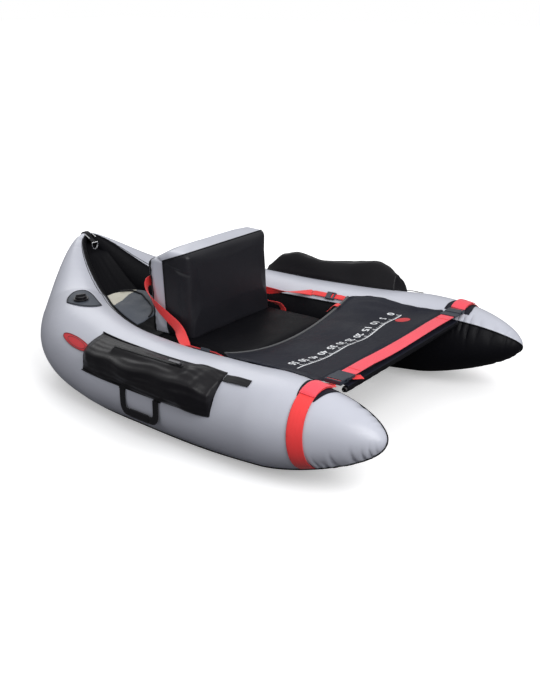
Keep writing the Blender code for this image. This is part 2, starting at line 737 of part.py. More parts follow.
def bag(side):
    top = LEFT_BAG_TOP_ANGLE if side > 0 else RIGHT_BAG_TOP_ANGLE
    profile = LEFT_BAG_PROFILE_SHARES if side > 0 else RIGHT_BAG_PROFILE_SHARES
    run = LEFT_BAG_RUN_SHARES if side > 0 else RIGHT_BAG_RUN_SHARES
    first, last = distance_at(BAG_FRONT), distance_at(BAG_REAR)
    places = steps(first, last, 14)
    angles = sorted(angles_between(BAG_LOW_ANGLE, top, UPPER_ANGLES) + steps(BAG_LOW_ANGLE, top, 6)[1:-1])
    outer, inner = [], []
    for d in places:
        t = (d - first) / (last - first)
        row_out, row_in = [], []
        for a in angles:
            u = (a - BAG_LOW_ANGLE) / (top - BAG_LOW_ANGLE)
            swell = share_at(profile, u) * share_at(run, t) * BAG_SWELL
            row_in.append(tube_point(d, a, SKIN_GAP, side))
            row_out.append(tube_point(d, a, SKIN_GAP + BAG_EDGE + swell, side))
        outer.append(row_out)
        inner.append(row_in)
    return add_object(side_name(side, 'bag'), grid_solid(outer, inner), 'nylon_black', crease=60)


def bag_tab(side):
    """Webbing tab sewn ahead of the bag."""
    first = distance_at(BAG_FRONT) - TAB_LENGTH - GAP * 3
    last = distance_at(BAG_FRONT) - GAP * 2
    top = LEFT_BAG_TOP_ANGLE if side > 0 else RIGHT_BAG_TOP_ANGLE
    half = TAB_WIDTH / TUBE_RADIUS * 180 / pi / 2
    data = tube_skin(steps(first, last, 4), steps(top - 3 * half, top - half, 2), SKIN_GAP,
                     SKIN_GAP + WEB_THICKNESS, side)
    return add_object(side_name(side, 'bag_tab'), data, 'webbing_black')


# Webbing ring, corner patch and anchor webbing at the bows

def ring_strap_places():
    middle = distance_at(CROSS_ALONG)
    return [middle - WEB_WIDTH / 2, middle, middle + WEB_WIDTH / 2]


def ring_strap(side):
    """Strap sewn on at the outer seam, over the pontoon and up into the slot of the buckle's socket."""
    low = SKIN_GAP * 2 + PATCH_THICKNESS
    angles = [OUTER_SEAM + STRAP_SEAM_ANGLE] + UPPER_ANGLES[1:-1]
    under = CROSS_HEIGHT - SOCKET_HEIGHT / 2 - GAP * 2
    top = CROSS_HEIGHT + SOCKET_HEIGHT / 2
    slot = SOCKET_END - PLUG_BAR - SOCKET_SLOT / 2
    half = WEB_THICKNESS / 2
    grids = []
    for outward in (1, -1):
        rows = []
        for d in ring_strap_places():
            row = [tube_point(d, a, low + half + half * outward, side) for a in angles]
            y = CROSS_ALONG + d - distance_at(CROSS_ALONG)
            row.append(Vector((side * (slot + half * 2), y, under - half + half * outward)))
            row.append(Vector((side * (slot + half * outward), y, under - half + half * outward)))
            row.append(Vector((side * (slot + half * outward), y, top)))
            rows.append(row)
        grids.append(rows)
    data = grid_solid(grids[0], grids[1])
    return add_object(side_name(side, 'ring_strap'), data, 'webbing_red')


def apron_corner(side):
    middle = distance_at(CROSS_ALONG)
    places = [middle - CORNER_LENGTH / 2] + ring_strap_places() + [middle + CORNER_LENGTH / 2]
    data = tube_skin(places, UPPER_ANGLES[CORNER_FIRST:-1], SKIN_GAP, SKIN_GAP + PATCH_THICKNESS, side)
    return add_object(side_name(side, 'apron_corner'), data, 'apron_navy')


def buckle_socket(side):
    size = (SOCKET_LENGTH, SOCKET_WIDTH, SOCKET_HEIGHT)
    middle = Vector((side * (SOCKET_END - SOCKET_LENGTH / 2), CROSS_ALONG, CROSS_HEIGHT))
    data = box_data(size, middle)
    bmesh.ops.bevel(data, geom=data.edges[:], offset=SOCKET_WALL, segments=2, affect='EDGES',
                    profile=0.5, material=-1)
    item = add_object(side_name(side, 'buckle_socket'), data, 'slate_plastic', crease=35)
    depth = PRONG_LENGTH + PLUG_CLEARANCE * 2
    pocket_size = (depth + SOCKET_WALL * 2, SOCKET_WIDTH - SOCKET_WALL * 4, SOCKET_HEIGHT - SOCKET_WALL * 2)
    mouth = SOCKET_END - SOCKET_LENGTH
    pocket = add_object(side_name(side, 'pocket_cutter'),
                        box_data(pocket_size, (side * (mouth + depth - pocket_size[0] / 2), CROSS_ALONG,
                                               CROSS_HEIGHT)), 'slate_plastic')
    cut(item, hide_cutter(pocket), 'Pocket')
    window = add_object(side_name(side, 'window_cutter'),
                        box_data((PRONG_LENGTH / 2, SOCKET_WIDTH * 2, SOCKET_HEIGHT / 2),
                                 (side * (mouth + PRONG_LENGTH * 0.6), CROSS_ALONG, CROSS_HEIGHT)),
                        'slate_plastic')
    cut(item, hide_cutter(window), 'Windows')
    slot = add_object(side_name(side, 'slot_cutter'),
                      box_data((SOCKET_SLOT, WEB_WIDTH + LIMIT_GAP, SOCKET_HEIGHT * 2),
                               (side * (SOCKET_END - PLUG_BAR - SOCKET_SLOT / 2), CROSS_ALONG, CROSS_HEIGHT)),
                      'slate_plastic')
    cut(item, hide_cutter(slot), 'Slot')
    return item


def buckle_plug(side):
    """Plug with two outer prongs and a middle guide; the strap runs through its slot."""
    mouth = SOCKET_END - SOCKET_LENGTH - PLUG_CLEARANCE * 2
    half = (SOCKET_WIDTH - SOCKET_WALL * 4) / 2 - PLUG_CLEARANCE
    tip = mouth + PRONG_LENGTH
    base = mouth - PLUG_BASE
    guide = PRONG_WIDTH / 2
    outline = [(base, -SOCKET_WIDTH / 2), (mouth, -SOCKET_WIDTH / 2), (mouth, -half), (tip - PRONG_WIDTH, -half),
               (tip, -half + PRONG_WIDTH / 2), (tip, -half + PRONG_WIDTH), (mouth + PLUG_BAR, -half + PRONG_WIDTH),
               (mouth + PLUG_BAR, -guide), (tip - PRONG_WIDTH, -guide), (tip - PRONG_WIDTH, guide),
               (mouth + PLUG_BAR, guide), (mouth + PLUG_BAR, half - PRONG_WIDTH), (tip, half - PRONG_WIDTH),
               (tip, half - PRONG_WIDTH / 2), (tip - PRONG_WIDTH, half), (mouth, half),
               (mouth, SOCKET_WIDTH / 2), (base, SOCKET_WIDTH / 2)]
    thick = SOCKET_HEIGHT - SOCKET_WALL * 2 - PLUG_CLEARANCE * 2
    data = bmesh.new()
    corners = [data.verts.new((side * x, CROSS_ALONG + y, CROSS_HEIGHT - thick / 2)) for x, y in outline]
    face = data.faces.new(corners)
    grown = bmesh.ops.extrude_face_region(data, geom=[face])
    lifted = [g for g in grown['geom'] if isinstance(g, bmesh.types.BMVert)]
    bmesh.ops.translate(data, verts=lifted, vec=(0, 0, thick))
    item = add_object(side_name(side, 'buckle_plug'), data, 'slate_plastic', crease=35)
    slot_height = WEB_THICKNESS + LIMIT_GAP
    slot = add_object(side_name(side, 'plug_slot_cutter'),
                      box_data((PLUG_BASE * 2, WEB_WIDTH + LIMIT_GAP, slot_height),
                               (side * (base + PLUG_BASE - PLUG_BAR - PLUG_BASE), CROSS_ALONG, CROSS_HEIGHT)),
                      'slate_plastic')
    cut(item, hide_cutter(slot), 'Strap slot')
    return item


def cross_strap():
    """Strap across the bows; its ends lie in the slots of the two plugs."""
    mouth = SOCKET_END - SOCKET_LENGTH - PLUG_CLEARANCE * 2
    end = mouth - PLUG_BAR - PLUG_TRAVEL - PLUG_CLEARANCE * 2
    level = mouth - PLUG_BASE - PLUG_TRAVEL
    places = [-end, -level] + steps(-level, level, 8)[1:-1] + [level, end]
    points, normals = [], []
    for x in places:
        sag = CROSS_SAG * max(0.0, 1 - (x / level)**2)
        points.append(Vector((x, CROSS_ALONG, CROSS_HEIGHT - sag)))
        normals.append(Vector((0, 0, 1)))
    return add_object('cross_strap', ribbon(points, normals, WEB_WIDTH, WEB_THICKNESS), 'webbing_red')


# Sheets slung between the pontoons

def slung_sheet(name, edges, thickness, sag_at, finish, columns=12):
    """Sheet from tube to tube; sag_at(t, u) gives its drop, t along and u across from -1 to 1."""
    upper, lower = [], []
    for i, edge in enumerate(edges):
        t = i / (len(edges) - 1)
        row_up, row_low = [], []
        for j in range(columns + 1):
            u = -1 + 2 * j / columns
            point = Vector((edge.x * u, edge.y, edge.z - sag_at(t, u)))
            row_up.append(point + Vector((0, 0, thickness)))
            row_low.append(point)
        upper.append(row_up)
        lower.append(row_low)
    return add_object(name, grid_solid(upper, lower), finish, crease=60)


def apron_sag(t, u):
    """Drop of the apron, with soft folds: deepest at its rear edge, straight at the front hem."""
    fold = APRON_FOLD * sin(3 * pi * u) * sin(pi * t)
    return (APRON_SAG * t + fold) * (1 - u * u)


def apron_edge(distance):
    """Where the apron's side lies: on the tube, or drawn in under the buckles at the front."""
    edge = tube_point(distance, UPPER_ANGLES[-2], SKIN_GAP, 1)
    along = centre(distance)[0].y
    if along < APRON_CORNER:
        edge = Vector((APRON_FRONT_HALF, along, edge.z - APRON_FRONT_DROP))
    return edge


def apron():
    places = [distance_at(y) for y in (APRON_FRONT, CROSS_ALONG, APRON_CORNER - WEB_THICKNESS)]
    places += rings_between(distance_at(APRON_CORNER + WEB_WIDTH / 2), distance_at(APRON_REAR))
    level = 1.2 / (len(places) - 1)
    return slung_sheet('apron', [apron_edge(d) for d in places], SHEET_THICKNESS,
                       lambda t, u: apron_sag(max(t - level, 0) / (1 - level), u), 'apron_navy', 14)


def apron_binding():
    rear = apron_edge(distance_at(APRON_REAR))
    rows = []
    for back in (GAP * 2, BINDING_LENGTH):
        rows.append(rear + Vector((0, back, GAP)))
    return slung_sheet('apron_binding', rows, BINDING_THICKNESS, lambda t, u: apron_sag(1, u), 'hem_grey', 14)


def pull_tab():
    rear = apron_edge(distance_at(APRON_REAR))
    share = PULL_TAB_OUT / rear.x
    top = rear.z - apron_sag(1, share) + BINDING_THICKNESS + GAP
    start = Vector((PULL_TAB_OUT, rear.y + GAP * 2, top + WEB_THICKNESS / 2 + GAP * 3))
    points = [start, start + Vector((0, BINDING_LENGTH * 1.6, 0)),
              start + Vector((0, PULL_TAB_LENGTH * 0.7, -PULL_TAB_DROP * 0.5)),
              start + Vector((0, PULL_TAB_LENGTH, -PULL_TAB_DROP))]
    slope = -2 * APRON_SAG * share / rear.x
    normals = [Vector((slope, 0, 1)), Vector((slope, 0.3, 1)), Vector((slope, 1, 1)), Vector((slope, 1, 0.6))]
    return add_object('pull_tab', ribbon(points, normals, PULL_TAB_WIDTH, WEB_THICKNESS), 'webbing_red')


def hollow_bar(name, half, outer, inner, middle, finish, sides=14):
    """Tube along X between plus and minus half."""
    upper, lower = [], []
    for x in (-half, half):
        upper.append([middle + Vector((x, cos(2 * pi * k / sides) * outer, sin(2 * pi * k / sides) * outer))
                      for k in range(sides)])
        lower.append([middle + Vector((x, cos(2 * pi * k / sides) * inner, sin(2 * pi * k / sides) * inner))
                      for k in range(sides)])
    return add_object(name, grid_solid(upper, lower, closed=True), finish)


def hem_and_bar():
    edge = apron_edge(distance_at(APRON_FRONT + HEM_RADIUS))
    middle = Vector((0, edge.y, edge.z - HEM_RADIUS - GAP * 2))
    hollow_bar('apron_hem', APRON_FRONT_HALF, HEM_RADIUS, HEM_RADIUS - HEM_WALL, middle, 'nylon_black')
    hollow_bar('spreader_bar', BAR_HALF, BAR_RADIUS, BAR_RADIUS - BAR_WALL, middle, 'bar_metal')


# Seat and backrest

def pillow(width, depth, height, power, draw, cuts):
    """Crowned box on the XY plane with rounded edges and sides drawn in between its corners."""
    data = bmesh.new()
    bmesh.ops.create_cube(data, size=2)
    bmesh.ops.subdivide_edges(data, edges=data.edges[:], cuts=cuts, use_grid_fill=True)
    for vert in data.verts:
        x, y, z = vert.co
        reach = (abs(x)**power + abs(y)**power + abs(z)**power)**(1 / power)
        x, y, z = x / reach, y / reach, z / reach
        pull_x = 1 - draw * (1 - y * y)
        pull_y = 1 - draw * (1 - x * x)
        vert.co = (x * pull_x * width / 2, y * pull_y * depth / 2, (z + 1) * height / 2)
    return data


def sling_level(distance):
    return tube_point(distance, LOWER_ANGLES[3], SKIN_GAP, 1)


def seat_sling():
    places = rings_between(distance_at(SEAT_FRONT), distance_at(SLING_REAR))
    edges = [sling_level(d) for d in places]
    level = min(edge.z for edge in edges)
    for edge in edges:
        edge.z = level
    slung_sheet('seat_sling', edges, SHEET_THICKNESS, lambda t, u: 0, 'nylon_black', 2)
    return level + SHEET_THICKNESS


def seat(level):
    bottom = level + GAP * 2
    data = pillow(SEAT_WIDTH, SEAT_REAR - SEAT_FRONT, SEAT_TOP - bottom, 5, SEAT_DRAW_SHARE, 7)
    bmesh.ops.translate(data, verts=data.verts, vec=(0, (SEAT_FRONT + SEAT_REAR) / 2, bottom))
    return add_object('seat_cushion', data, 'nylon_black')


def backrest_pillow(inset, cuts):
    data = pillow(BACK_WIDTH - inset * 2, BACK_DEPTH - inset * 2, BACK_HEIGHT - inset * 2, 7,
                  BACK_DRAW_SHARE, cuts)
    bmesh.ops.translate(data, verts=data.verts, vec=(0, BACK_DEPTH / 2, inset))
    return data


def lean_back(data):
    """Move a backrest piece from its own frame to its place above the seat."""
    base = SEAT_TOP + SKIN_GAP
    for vert in data.verts:
        x, y, z = vert.co
        vert.co = (x, BACK_FRONT + y + z * BACK_LEAN_SHARE, base + z)
    return data


def backrest_cover(name, first, last, finish):
    """Part of the hollow cover between two depths, cut square at its seams."""
    item = add_object(name, lean_back(backrest_pillow(0, 7)), finish)
    wall = item.modifiers.new('Wall', 'SOLIDIFY')
    wall.thickness = BACK_WALL
    wall.offset = -1
    wall.use_even_offset = True
    size = (BACK_WIDTH * 2, last - first, BACK_HEIGHT * 2)
    slab = lean_back(box_data(size, (0, (first + last) / 2, BACK_HEIGHT / 2)))
    slab_item = hide_cutter(add_object(name + '_slab', slab, finish))
    keep = item.modifiers.new('Keep', 'BOOLEAN')
    keep.operation = 'INTERSECT'
    keep.solver = 'EXACT'
    keep.object = slab_item
    return item


def backrest():
    far = BACK_DEPTH
    backrest_cover('backrest_front', -far, BACK_FRONT_SEAM - GAP / 2, 'nylon_black')
    backrest_cover('backrest_gusset', BACK_FRONT_SEAM + GAP / 2, BACK_REAR_SEAM - GAP / 2, 'cover_grey')
    backrest_cover('backrest_panel', BACK_REAR_SEAM + GAP / 2, far * 2, 'nylon_black')
    inner = lean_back(backrest_pillow(BACK_WALL + SKIN_GAP * 2, 7))
    add_object('backrest_bladder', inner, 'bladder_film')


def back_rear(height):
    """Y of the backrest's rear face at a height above the seat."""
    return BACK_FRONT + BACK_DEPTH + height * BACK_LEAN_SHARE


def side_strap(side):
    """Strap from the rear of the backrest, round its side and down onto the pontoon."""
    points = []
    for out, layers, ahead, up in SIDE_STRAP_SHARES:
        height = BACK_HEIGHT * up
        behind = 0 if ahead else WEB_THICKNESS
        points.append(Vector((BACK_WIDTH / 2 * out + WEB_THICKNESS * layers,
                              back_rear(height) + behind - BACK_DEPTH * ahead, SEAT_TOP + height)))
    tube_end = distance_at(SIDE_STRAP_END)
    lift = SKIN_GAP + WEB_THICKNESS / 2
    points += [facet_point(d, lift, 1) for d in (tube_end + SIDE_STRAP_WIDTH * 0.9, tube_end)]
    tube_normal = facet_normal(tube_end, 1)
    normals = [Vector(way) for way in SIDE_STRAP_FACINGS] + [tube_normal, tube_normal.copy()]
    for point, normal in zip(points, normals):
        point.x *= side
        normal.x *= side
    return add_object(side_name(side, 'side_strap'), ribbon(points, normals, SIDE_STRAP_WIDTH, WEB_THICKNESS),
                      'webbing_red')


def tube_strap_path(side):
    """Centre points and normals of the strap along the pontoon, straight at the adjuster."""
    rear = distance_at(SIDE_STRAP_END) - WEB_THICKNESS
    front = distance_at(TUBE_STRAP_FRONT)
    flat_rear = distance_at(ADJUSTER_ALONG + ADJUSTER_TRAVEL + ADJUSTER_LENGTH * 1.2)
    flat_front = distance_at(ADJUSTER_ALONG - ADJUSTER_LENGTH)
    low = SKIN_GAP + WEB_THICKNESS / 2
    high = low + TUBE_STRAP_RISE
    stops = ((rear, low), (flat_rear, high), (flat_front, high), (front + WEB_WIDTH / 2, low), (front, low))
    points = [facet_point(d, lift, side) for d, lift in stops]
    normals = [facet_normal(d, side) for d, lift in stops]
    level = (normals[1] + normals[2]).normalized()
    normals[1], normals[2] = level, level.copy()
    return points, normals


def tube_strap(side):
    points, normals = tube_strap_path(side)
    return add_object(side_name(side, 'tube_strap'), ribbon(points, normals, SIDE_STRAP_WIDTH * 0.6,
                                                            WEB_THICKNESS), 'webbing_red')


def adjuster_frame(side):
    """Matrix at the adjuster: X along the strap toward the stern, Z off the tube."""
    points, normals = tube_strap_path(side)
    rear, front = points[1], points[2]
    along = (rear - front).normalized()
    normal = normals[1]
    across = normal.cross(along).normalized()
    normal = along.cross(across)
    share = (ADJUSTER_ALONG - front.y) / (rear.y - front.y)
    turn = Matrix((along, across, normal)).transposed().to_4x4()
    return Matrix.Translation(front.lerp(rear, share)) @ turn


def adjuster(side):
    """Slide adjuster: a flat frame with the strap running through it."""
    inner_width = SIDE_STRAP_WIDTH * 0.6 + LIMIT_GAP * 2
    inner_height = WEB_THICKNESS + LIMIT_GAP
    size = (ADJUSTER_LENGTH, inner_width + ADJUSTER_WALL * 2, inner_height + ADJUSTER_WALL * 1.6)
    lift = (ADJUSTER_WALL * 1.6 - TUBE_STRAP_RISE + SKIN_GAP) / 2
    data = box_data(size, (0, 0, max(lift, 0)))
    bmesh.ops.bevel(data, geom=data.edges[:], offset=ADJUSTER_WALL / 3, segments=2, affect='EDGES',
                    profile=0.5, material=-1)
    item = add_object(side_name(side, 'strap_adjuster'), data, 'slate_plastic', crease=35)
    hole = add_object(side_name(side, 'adjuster_cutter'),
                      box_data((ADJUSTER_LENGTH * 2, inner_width, inner_height), (0, 0, 0)), 'slate_plastic')
    cut(item, hide_cutter(hole))
    window = add_object(side_name(side, 'adjuster_window'),
                        box_data((ADJUSTER_LENGTH / 4, inner_width * 0.9, size[2] * 2),
                                 (-ADJUSTER_LENGTH / 5, 0, size[2])), 'slate_plastic')
    cut(item, hide_cutter(window), 'Window')
    for piece in (item, hole, window):
        piece.matrix_world = adjuster_frame(side)
    return item


def base_strap(side):
    """Short strap from the backrest's lower side into the gap beside the seat."""
    near = BACK_WIDTH / 2 * (1 - BACK_DRAW_SHARE * 0.7) + WEB_THICKNESS / 2
    far = SEAT_WIDTH / 2
    points = [Vector((near + (far - near) * out, BACK_FRONT + BACK_DEPTH * back, SEAT_TOP + BACK_HEIGHT * up))
              for out, back, up in BASE_STRAP_SHARES]
    normals = [Vector(way) for way in BASE_STRAP_FACINGS]
    for point, normal in zip(points, normals):
        point.x *= side
        normal.x *= side
    return add_object(side_name(side, 'base_strap'), ribbon(points, normals, WEB_WIDTH * 0.55, WEB_THICKNESS),
                      'webbing_red')


# Cargo space

def cargo_floor():
    places = rings_between(distance_at(CARGO_FRONT), distance_at(CARGO_REAR))
    edges = [sling_level(d) for d in places]
    return slung_sheet('cargo_floor', edges, SHEET_THICKNESS, lambda t, u: CARGO_SAG * (1 - u * u),
                       'nylon_black')


def flap_point(share, reach):
    """Point on the cargo flap: share along the seam, reach inward from it."""
    first, last = distance_at(FLAP_FRONT), distance_at(FLAP_REAR)
    d = first + (last - first) * share
    seam = tube_point(d, INNER_SEAM, PIPING_RADIUS * 2 + SKIN_GAP * 3, 1)
    inward = frame_at(d)[2] * -1
    rise = FLAP_RISE * sin(pi / 2 * min(reach / FLAP_WIDTH, 1))
    return Vector((-(seam.x + inward.x * reach), seam.y + inward.y * reach, seam.z + rise))


def flap_reach(share):
    """The flap narrows toward both of its ends."""
    return FLAP_WIDTH * (1 - 0.55 * abs(2 * share - 1)**4)


def cargo_flap():
    """Cover of the cargo space, unzipped and folded in along the right pontoon."""
    lower = [[flap_point(i / 8, flap_reach(i / 8) * j / 5) for j in range(6)] for i in range(9)]
    upper = [[p + Vector((0, 0, SHEET_THICKNESS)) for p in row] for row in lower]
    add_object('cargo_flap', grid_solid(upper, lower), 'slate_fabric', crease=60)
    rise = Vector((0, 0, SHEET_THICKNESS + FLAP_BINDING_RADIUS + GAP * 2))
    points = [flap_point(i / 16, flap_reach(i / 16) * FLAP_BINDING / FLAP_WIDTH) + rise for i in range(17)]
    return add_object('flap_binding', sweep_round(points, FLAP_BINDING_RADIUS, 6), 'piping_black')


def stern_tab():
    """Webbing folded over the peak, with a loop hanging on its inner end."""
    peak = centre(PATH_LENGTH)[0]
    points, normals = [], []
    for turn in steps(-40.0, 180.0, 8):
        normal = Vector((0, cos(radians(turn)), sin(radians(turn))))
        points.append(peak + normal * STERN_TAB_RADIUS)
        normals.append(normal)
    end = peak + Vector((0, -STERN_TAB_FRONT, -STERN_TAB_DROP))
    points.append(end)
    normals.append(Vector((0, -1, 0.4)))
    add_object('stern_tab', ribbon(points, normals, STERN_TAB_WIDTH, WEB_THICKNESS), 'webbing_black')
    return end


def stern_loop(end):
    """Wire D loop under the end of the stern tab."""
    run = Vector((0, STERN_TAB_RADIUS - STERN_TAB_FRONT, -STERN_TAB_DROP)).normalized()
    top = end + run * (LOOP_WIRE + GAP * 2)
    outline = [(-1, 0), (1, 0), (1, -0.5), (0.7, -0.85), (0, -1), (-0.7, -0.85), (-1, -0.5)]
    data = bmesh.new()
    sides = 6
    rings = []
    for i, (x, z) in enumerate(outline):
        corner = Vector((x * LOOP_HALF_WIDTH, 0, z * LOOP_HEIGHT))
        ahead = Vector((outline[(i + 1) % 7][0] * LOOP_HALF_WIDTH, 0, outline[(i + 1) % 7][1] * LOOP_HEIGHT))
        behind = Vector((outline[i - 1][0] * LOOP_HALF_WIDTH, 0, outline[i - 1][1] * LOOP_HEIGHT))
        run = ((ahead - corner).normalized() + (corner - behind).normalized()).normalized()
        out = Vector((0, 1, 0)).cross(run)
        rings.append([data.verts.new(corner + (out * cos(2 * pi * k / sides)
                                               + Vector((0, 1, 0)) * sin(2 * pi * k / sides)) * LOOP_WIRE)
                      for k in range(sides)])
    for first, second in zip(rings, rings[1:] + rings[:1]):
        for j in range(sides):
            k = (j + 1) % sides
            data.faces.new((first[j], first[k], second[k], second[j]))
    item = add_object('stern_loop', data, 'ring_metal')
    item.location = top
    return item


# Zips on the bags and carry handles

def zip_frame(side):
    """Matrix on the bag's upper face: X along the bag, Z off it, origin at the zip's middle."""
    top = LEFT_BAG_TOP_ANGLE if side > 0 else RIGHT_BAG_TOP_ANGLE
    angle = BAG_LOW_ANGLE + (top - BAG_LOW_ANGLE) * ZIP_PLACE_SHARE
    first, last = distance_at(BAG_FRONT), distance_at(BAG_REAR)
    profile = LEFT_BAG_PROFILE_SHARES if side > 0 else RIGHT_BAG_PROFILE_SHARES
    run = LEFT_BAG_RUN_SHARES if side > 0 else RIGHT_BAG_RUN_SHARES

    def outside(t, turn):
        swell = share_at(profile, (turn - BAG_LOW_ANGLE) / (top - BAG_LOW_ANGLE)) * share_at(run, t) * BAG_SWELL
        return tube_point(first + (last - first) * t, turn, SKIN_GAP + BAG_EDGE + swell, side)

    middle = (first + last) / 2
    reach = BAG_ZIP_LENGTH / 2 / (last - first)
    samples = [outside(0.5 + reach * k, angle) for k in (-1, -0.5, 0, 0.5, 1)]
    along = (samples[-1] - samples[0]).normalized()
    edge = (outside(0.5, angle + 6) - outside(0.5, angle - 6)).normalized()
    normal = along.cross(edge).normalized()
    if normal.dot(samples[2] - centre(middle)[0] * Vector((side, 1, 1))) < 0:
        normal.negate()
    depth = min((p - samples[2]).dot(normal) for p in samples) - BAG_ZIP_SINK
    across = normal.cross(along)
    turn = Matrix((along, across, normal)).transposed().to_4x4()
    return Matrix.Translation(samples[2] + normal * depth) @ turn


def bag_zip(side, bag_body):
    frame = zip_frame(side)
    room = BAG_SWELL
    groove = add_object(side_name(side, 'groove_cutter'),
                        box_data((BAG_ZIP_LENGTH + LIMIT_GAP * 2, BAG_ZIP_WIDTH + LIMIT_GAP * 2, room),
                                 (0, 0, room / 2)), 'nylon_black')
    groove.matrix_world = frame
    cut(bag_body, hide_cutter(groove), 'Zip groove')
    track = add_object(side_name(side, 'bag_zip'),
                       box_data((BAG_ZIP_LENGTH, BAG_ZIP_WIDTH, BAG_ZIP_THICKNESS),
                                (0, 0, GAP + BAG_ZIP_THICKNESS / 2)), 'piping_black')
    track.matrix_world = frame
    level = GAP * 2 + BAG_ZIP_THICKNESS
    start = -BAG_ZIP_LENGTH / 2 + ZIP_SLIDER_LENGTH
    half = ZIP_SLIDER_LENGTH / 2
    top = level + ZIP_SLIDER_HEIGHT
    pull = half + ZIP_PULL_LENGTH
    thick = ZIP_PULL_THICKNESS
    profile = [(-half, level), (half, level), (half, top), (pull, top), (pull, top + thick),
               (-half / 2, top + thick), (-half, top)]
    body = bmesh.new()
    corners = [body.verts.new((start + x, -ZIP_SLIDER_WIDTH / 2, z)) for x, z in profile]
    grown = bmesh.ops.extrude_face_region(body, geom=[body.faces.new(corners)])
    lifted = [g for g in grown['geom'] if isinstance(g, bmesh.types.BMVert)]
    bmesh.ops.translate(body, verts=lifted, vec=(0, ZIP_SLIDER_WIDTH, 0))
    slider = add_object(side_name(side, 'zip_slider'), body, 'ring_metal', crease=30)
    slider.matrix_world = frame


def handle_frame(side):
    """Matrix at the handle's hinge: Y along the pontoon, X outward."""
    d = distance_at(HANDLE_ALONG)
    ahead = (tube_point(d + HANDLE_LENGTH / 2, 0, 0, side) - tube_point(d - HANDLE_LENGTH / 2, 0, 0, side))
    turn = atan2(-ahead.x, ahead.y)
    spot = tube_point(d, 0, SKIN_GAP * 3 + HANDLE_THICKNESS / 2, side)
    ends = (d - HANDLE_LENGTH / 2, d, d + HANDLE_LENGTH / 2)
    spot.z = min(tube_point(place, BAG_LOW_ANGLE, SKIN_GAP, side).z for place in ends)
    return Matrix.Translation(spot) @ Matrix.Rotation(turn, 4, 'Z')


def handle(side):
    """U of webbing hanging from the bag's lower edge."""
    half = HANDLE_LENGTH / 2
    inner = half - HANDLE_WEB
    outline = [(-half, 0), (-half, -HANDLE_DROP * 0.72), (-half * 0.8, -HANDLE_DROP), (half * 0.8, -HANDLE_DROP),
               (half, -HANDLE_DROP * 0.72), (half, 0), (inner, 0), (inner, -HANDLE_DROP * 0.55),
               (inner * 0.8, -HANDLE_DROP + HANDLE_WEB), (-inner * 0.8, -HANDLE_DROP + HANDLE_WEB),
               (-inner, -HANDLE_DROP * 0.55), (-inner, 0)]
    data = bmesh.new()
    corners = [data.verts.new((-HANDLE_THICKNESS / 2, y, z)) for y, z in outline]
    face = data.faces.new(corners)
    grown = bmesh.ops.extrude_face_region(data, geom=[face])
    lifted = [g for g in grown['geom'] if isinstance(g, bmesh.types.BMVert)]
    bmesh.ops.translate(data, verts=lifted, vec=(HANDLE_THICKNESS, 0, 0))
    item = add_object(side_name(side, 'carry_handle'), data, 'webbing_black', crease=35)
    item.matrix_world = handle_frame(side)
    return item


def build():
    clear_scene()
    for side in (-1, 1):
        upper = cover_shell(side_name(side, 'cover_upper'), side, UPPER_ANGLES, 'cover_grey')
        cover_shell(side_name(side, 'cover_lower'), side, LOWER_ANGLES, 'nylon_black')
        air = bladder(side)
        piping(side)
        valve(side, upper, air)
        badge(side)
        bag_zip(side, bag(side))
        bag_tab(side)
        handle(side)
        ring_strap(side)
        apron_corner(side)
        buckle_socket(side)
        buckle_plug(side)
        side_strap(side)
        tube_strap(side)
        adjuster(side)
        base_strap(side)
    cross_strap()
    apron()
    apron_binding()
    pull_tab()
    hem_and_bar()
    seat(seat_sling())
    backrest()
    cargo_floor()
    cargo_flap()
    stern_loop(stern_tab())


build()
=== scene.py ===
import json
from math import atan2, cos, exp, pi, radians, sin, sqrt

import bmesh
import bpy
import numpy
from mathutils import Matrix, Vector, noise

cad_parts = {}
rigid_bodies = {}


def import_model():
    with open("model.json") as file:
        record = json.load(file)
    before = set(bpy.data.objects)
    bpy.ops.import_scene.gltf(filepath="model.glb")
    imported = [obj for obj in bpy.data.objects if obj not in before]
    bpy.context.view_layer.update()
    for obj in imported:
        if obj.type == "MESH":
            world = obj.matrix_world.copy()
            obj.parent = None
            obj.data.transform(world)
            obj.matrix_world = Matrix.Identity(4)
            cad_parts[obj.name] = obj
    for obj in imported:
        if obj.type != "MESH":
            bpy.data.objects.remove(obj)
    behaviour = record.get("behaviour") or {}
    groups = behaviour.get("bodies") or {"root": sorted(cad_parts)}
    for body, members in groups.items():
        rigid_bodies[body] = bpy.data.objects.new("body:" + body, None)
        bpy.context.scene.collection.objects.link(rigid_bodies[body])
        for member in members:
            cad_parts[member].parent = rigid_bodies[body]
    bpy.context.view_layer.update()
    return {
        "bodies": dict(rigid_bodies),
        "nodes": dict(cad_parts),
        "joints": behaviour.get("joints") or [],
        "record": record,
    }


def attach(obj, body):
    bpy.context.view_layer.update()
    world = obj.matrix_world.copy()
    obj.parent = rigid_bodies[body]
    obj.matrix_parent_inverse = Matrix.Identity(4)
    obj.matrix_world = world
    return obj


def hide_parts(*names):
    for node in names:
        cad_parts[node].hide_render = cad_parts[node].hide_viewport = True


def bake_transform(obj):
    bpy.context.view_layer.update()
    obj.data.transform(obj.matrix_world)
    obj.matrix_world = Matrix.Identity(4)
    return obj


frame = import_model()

sides = {"left": 1, "right": -1}

# Camera, lights, floor

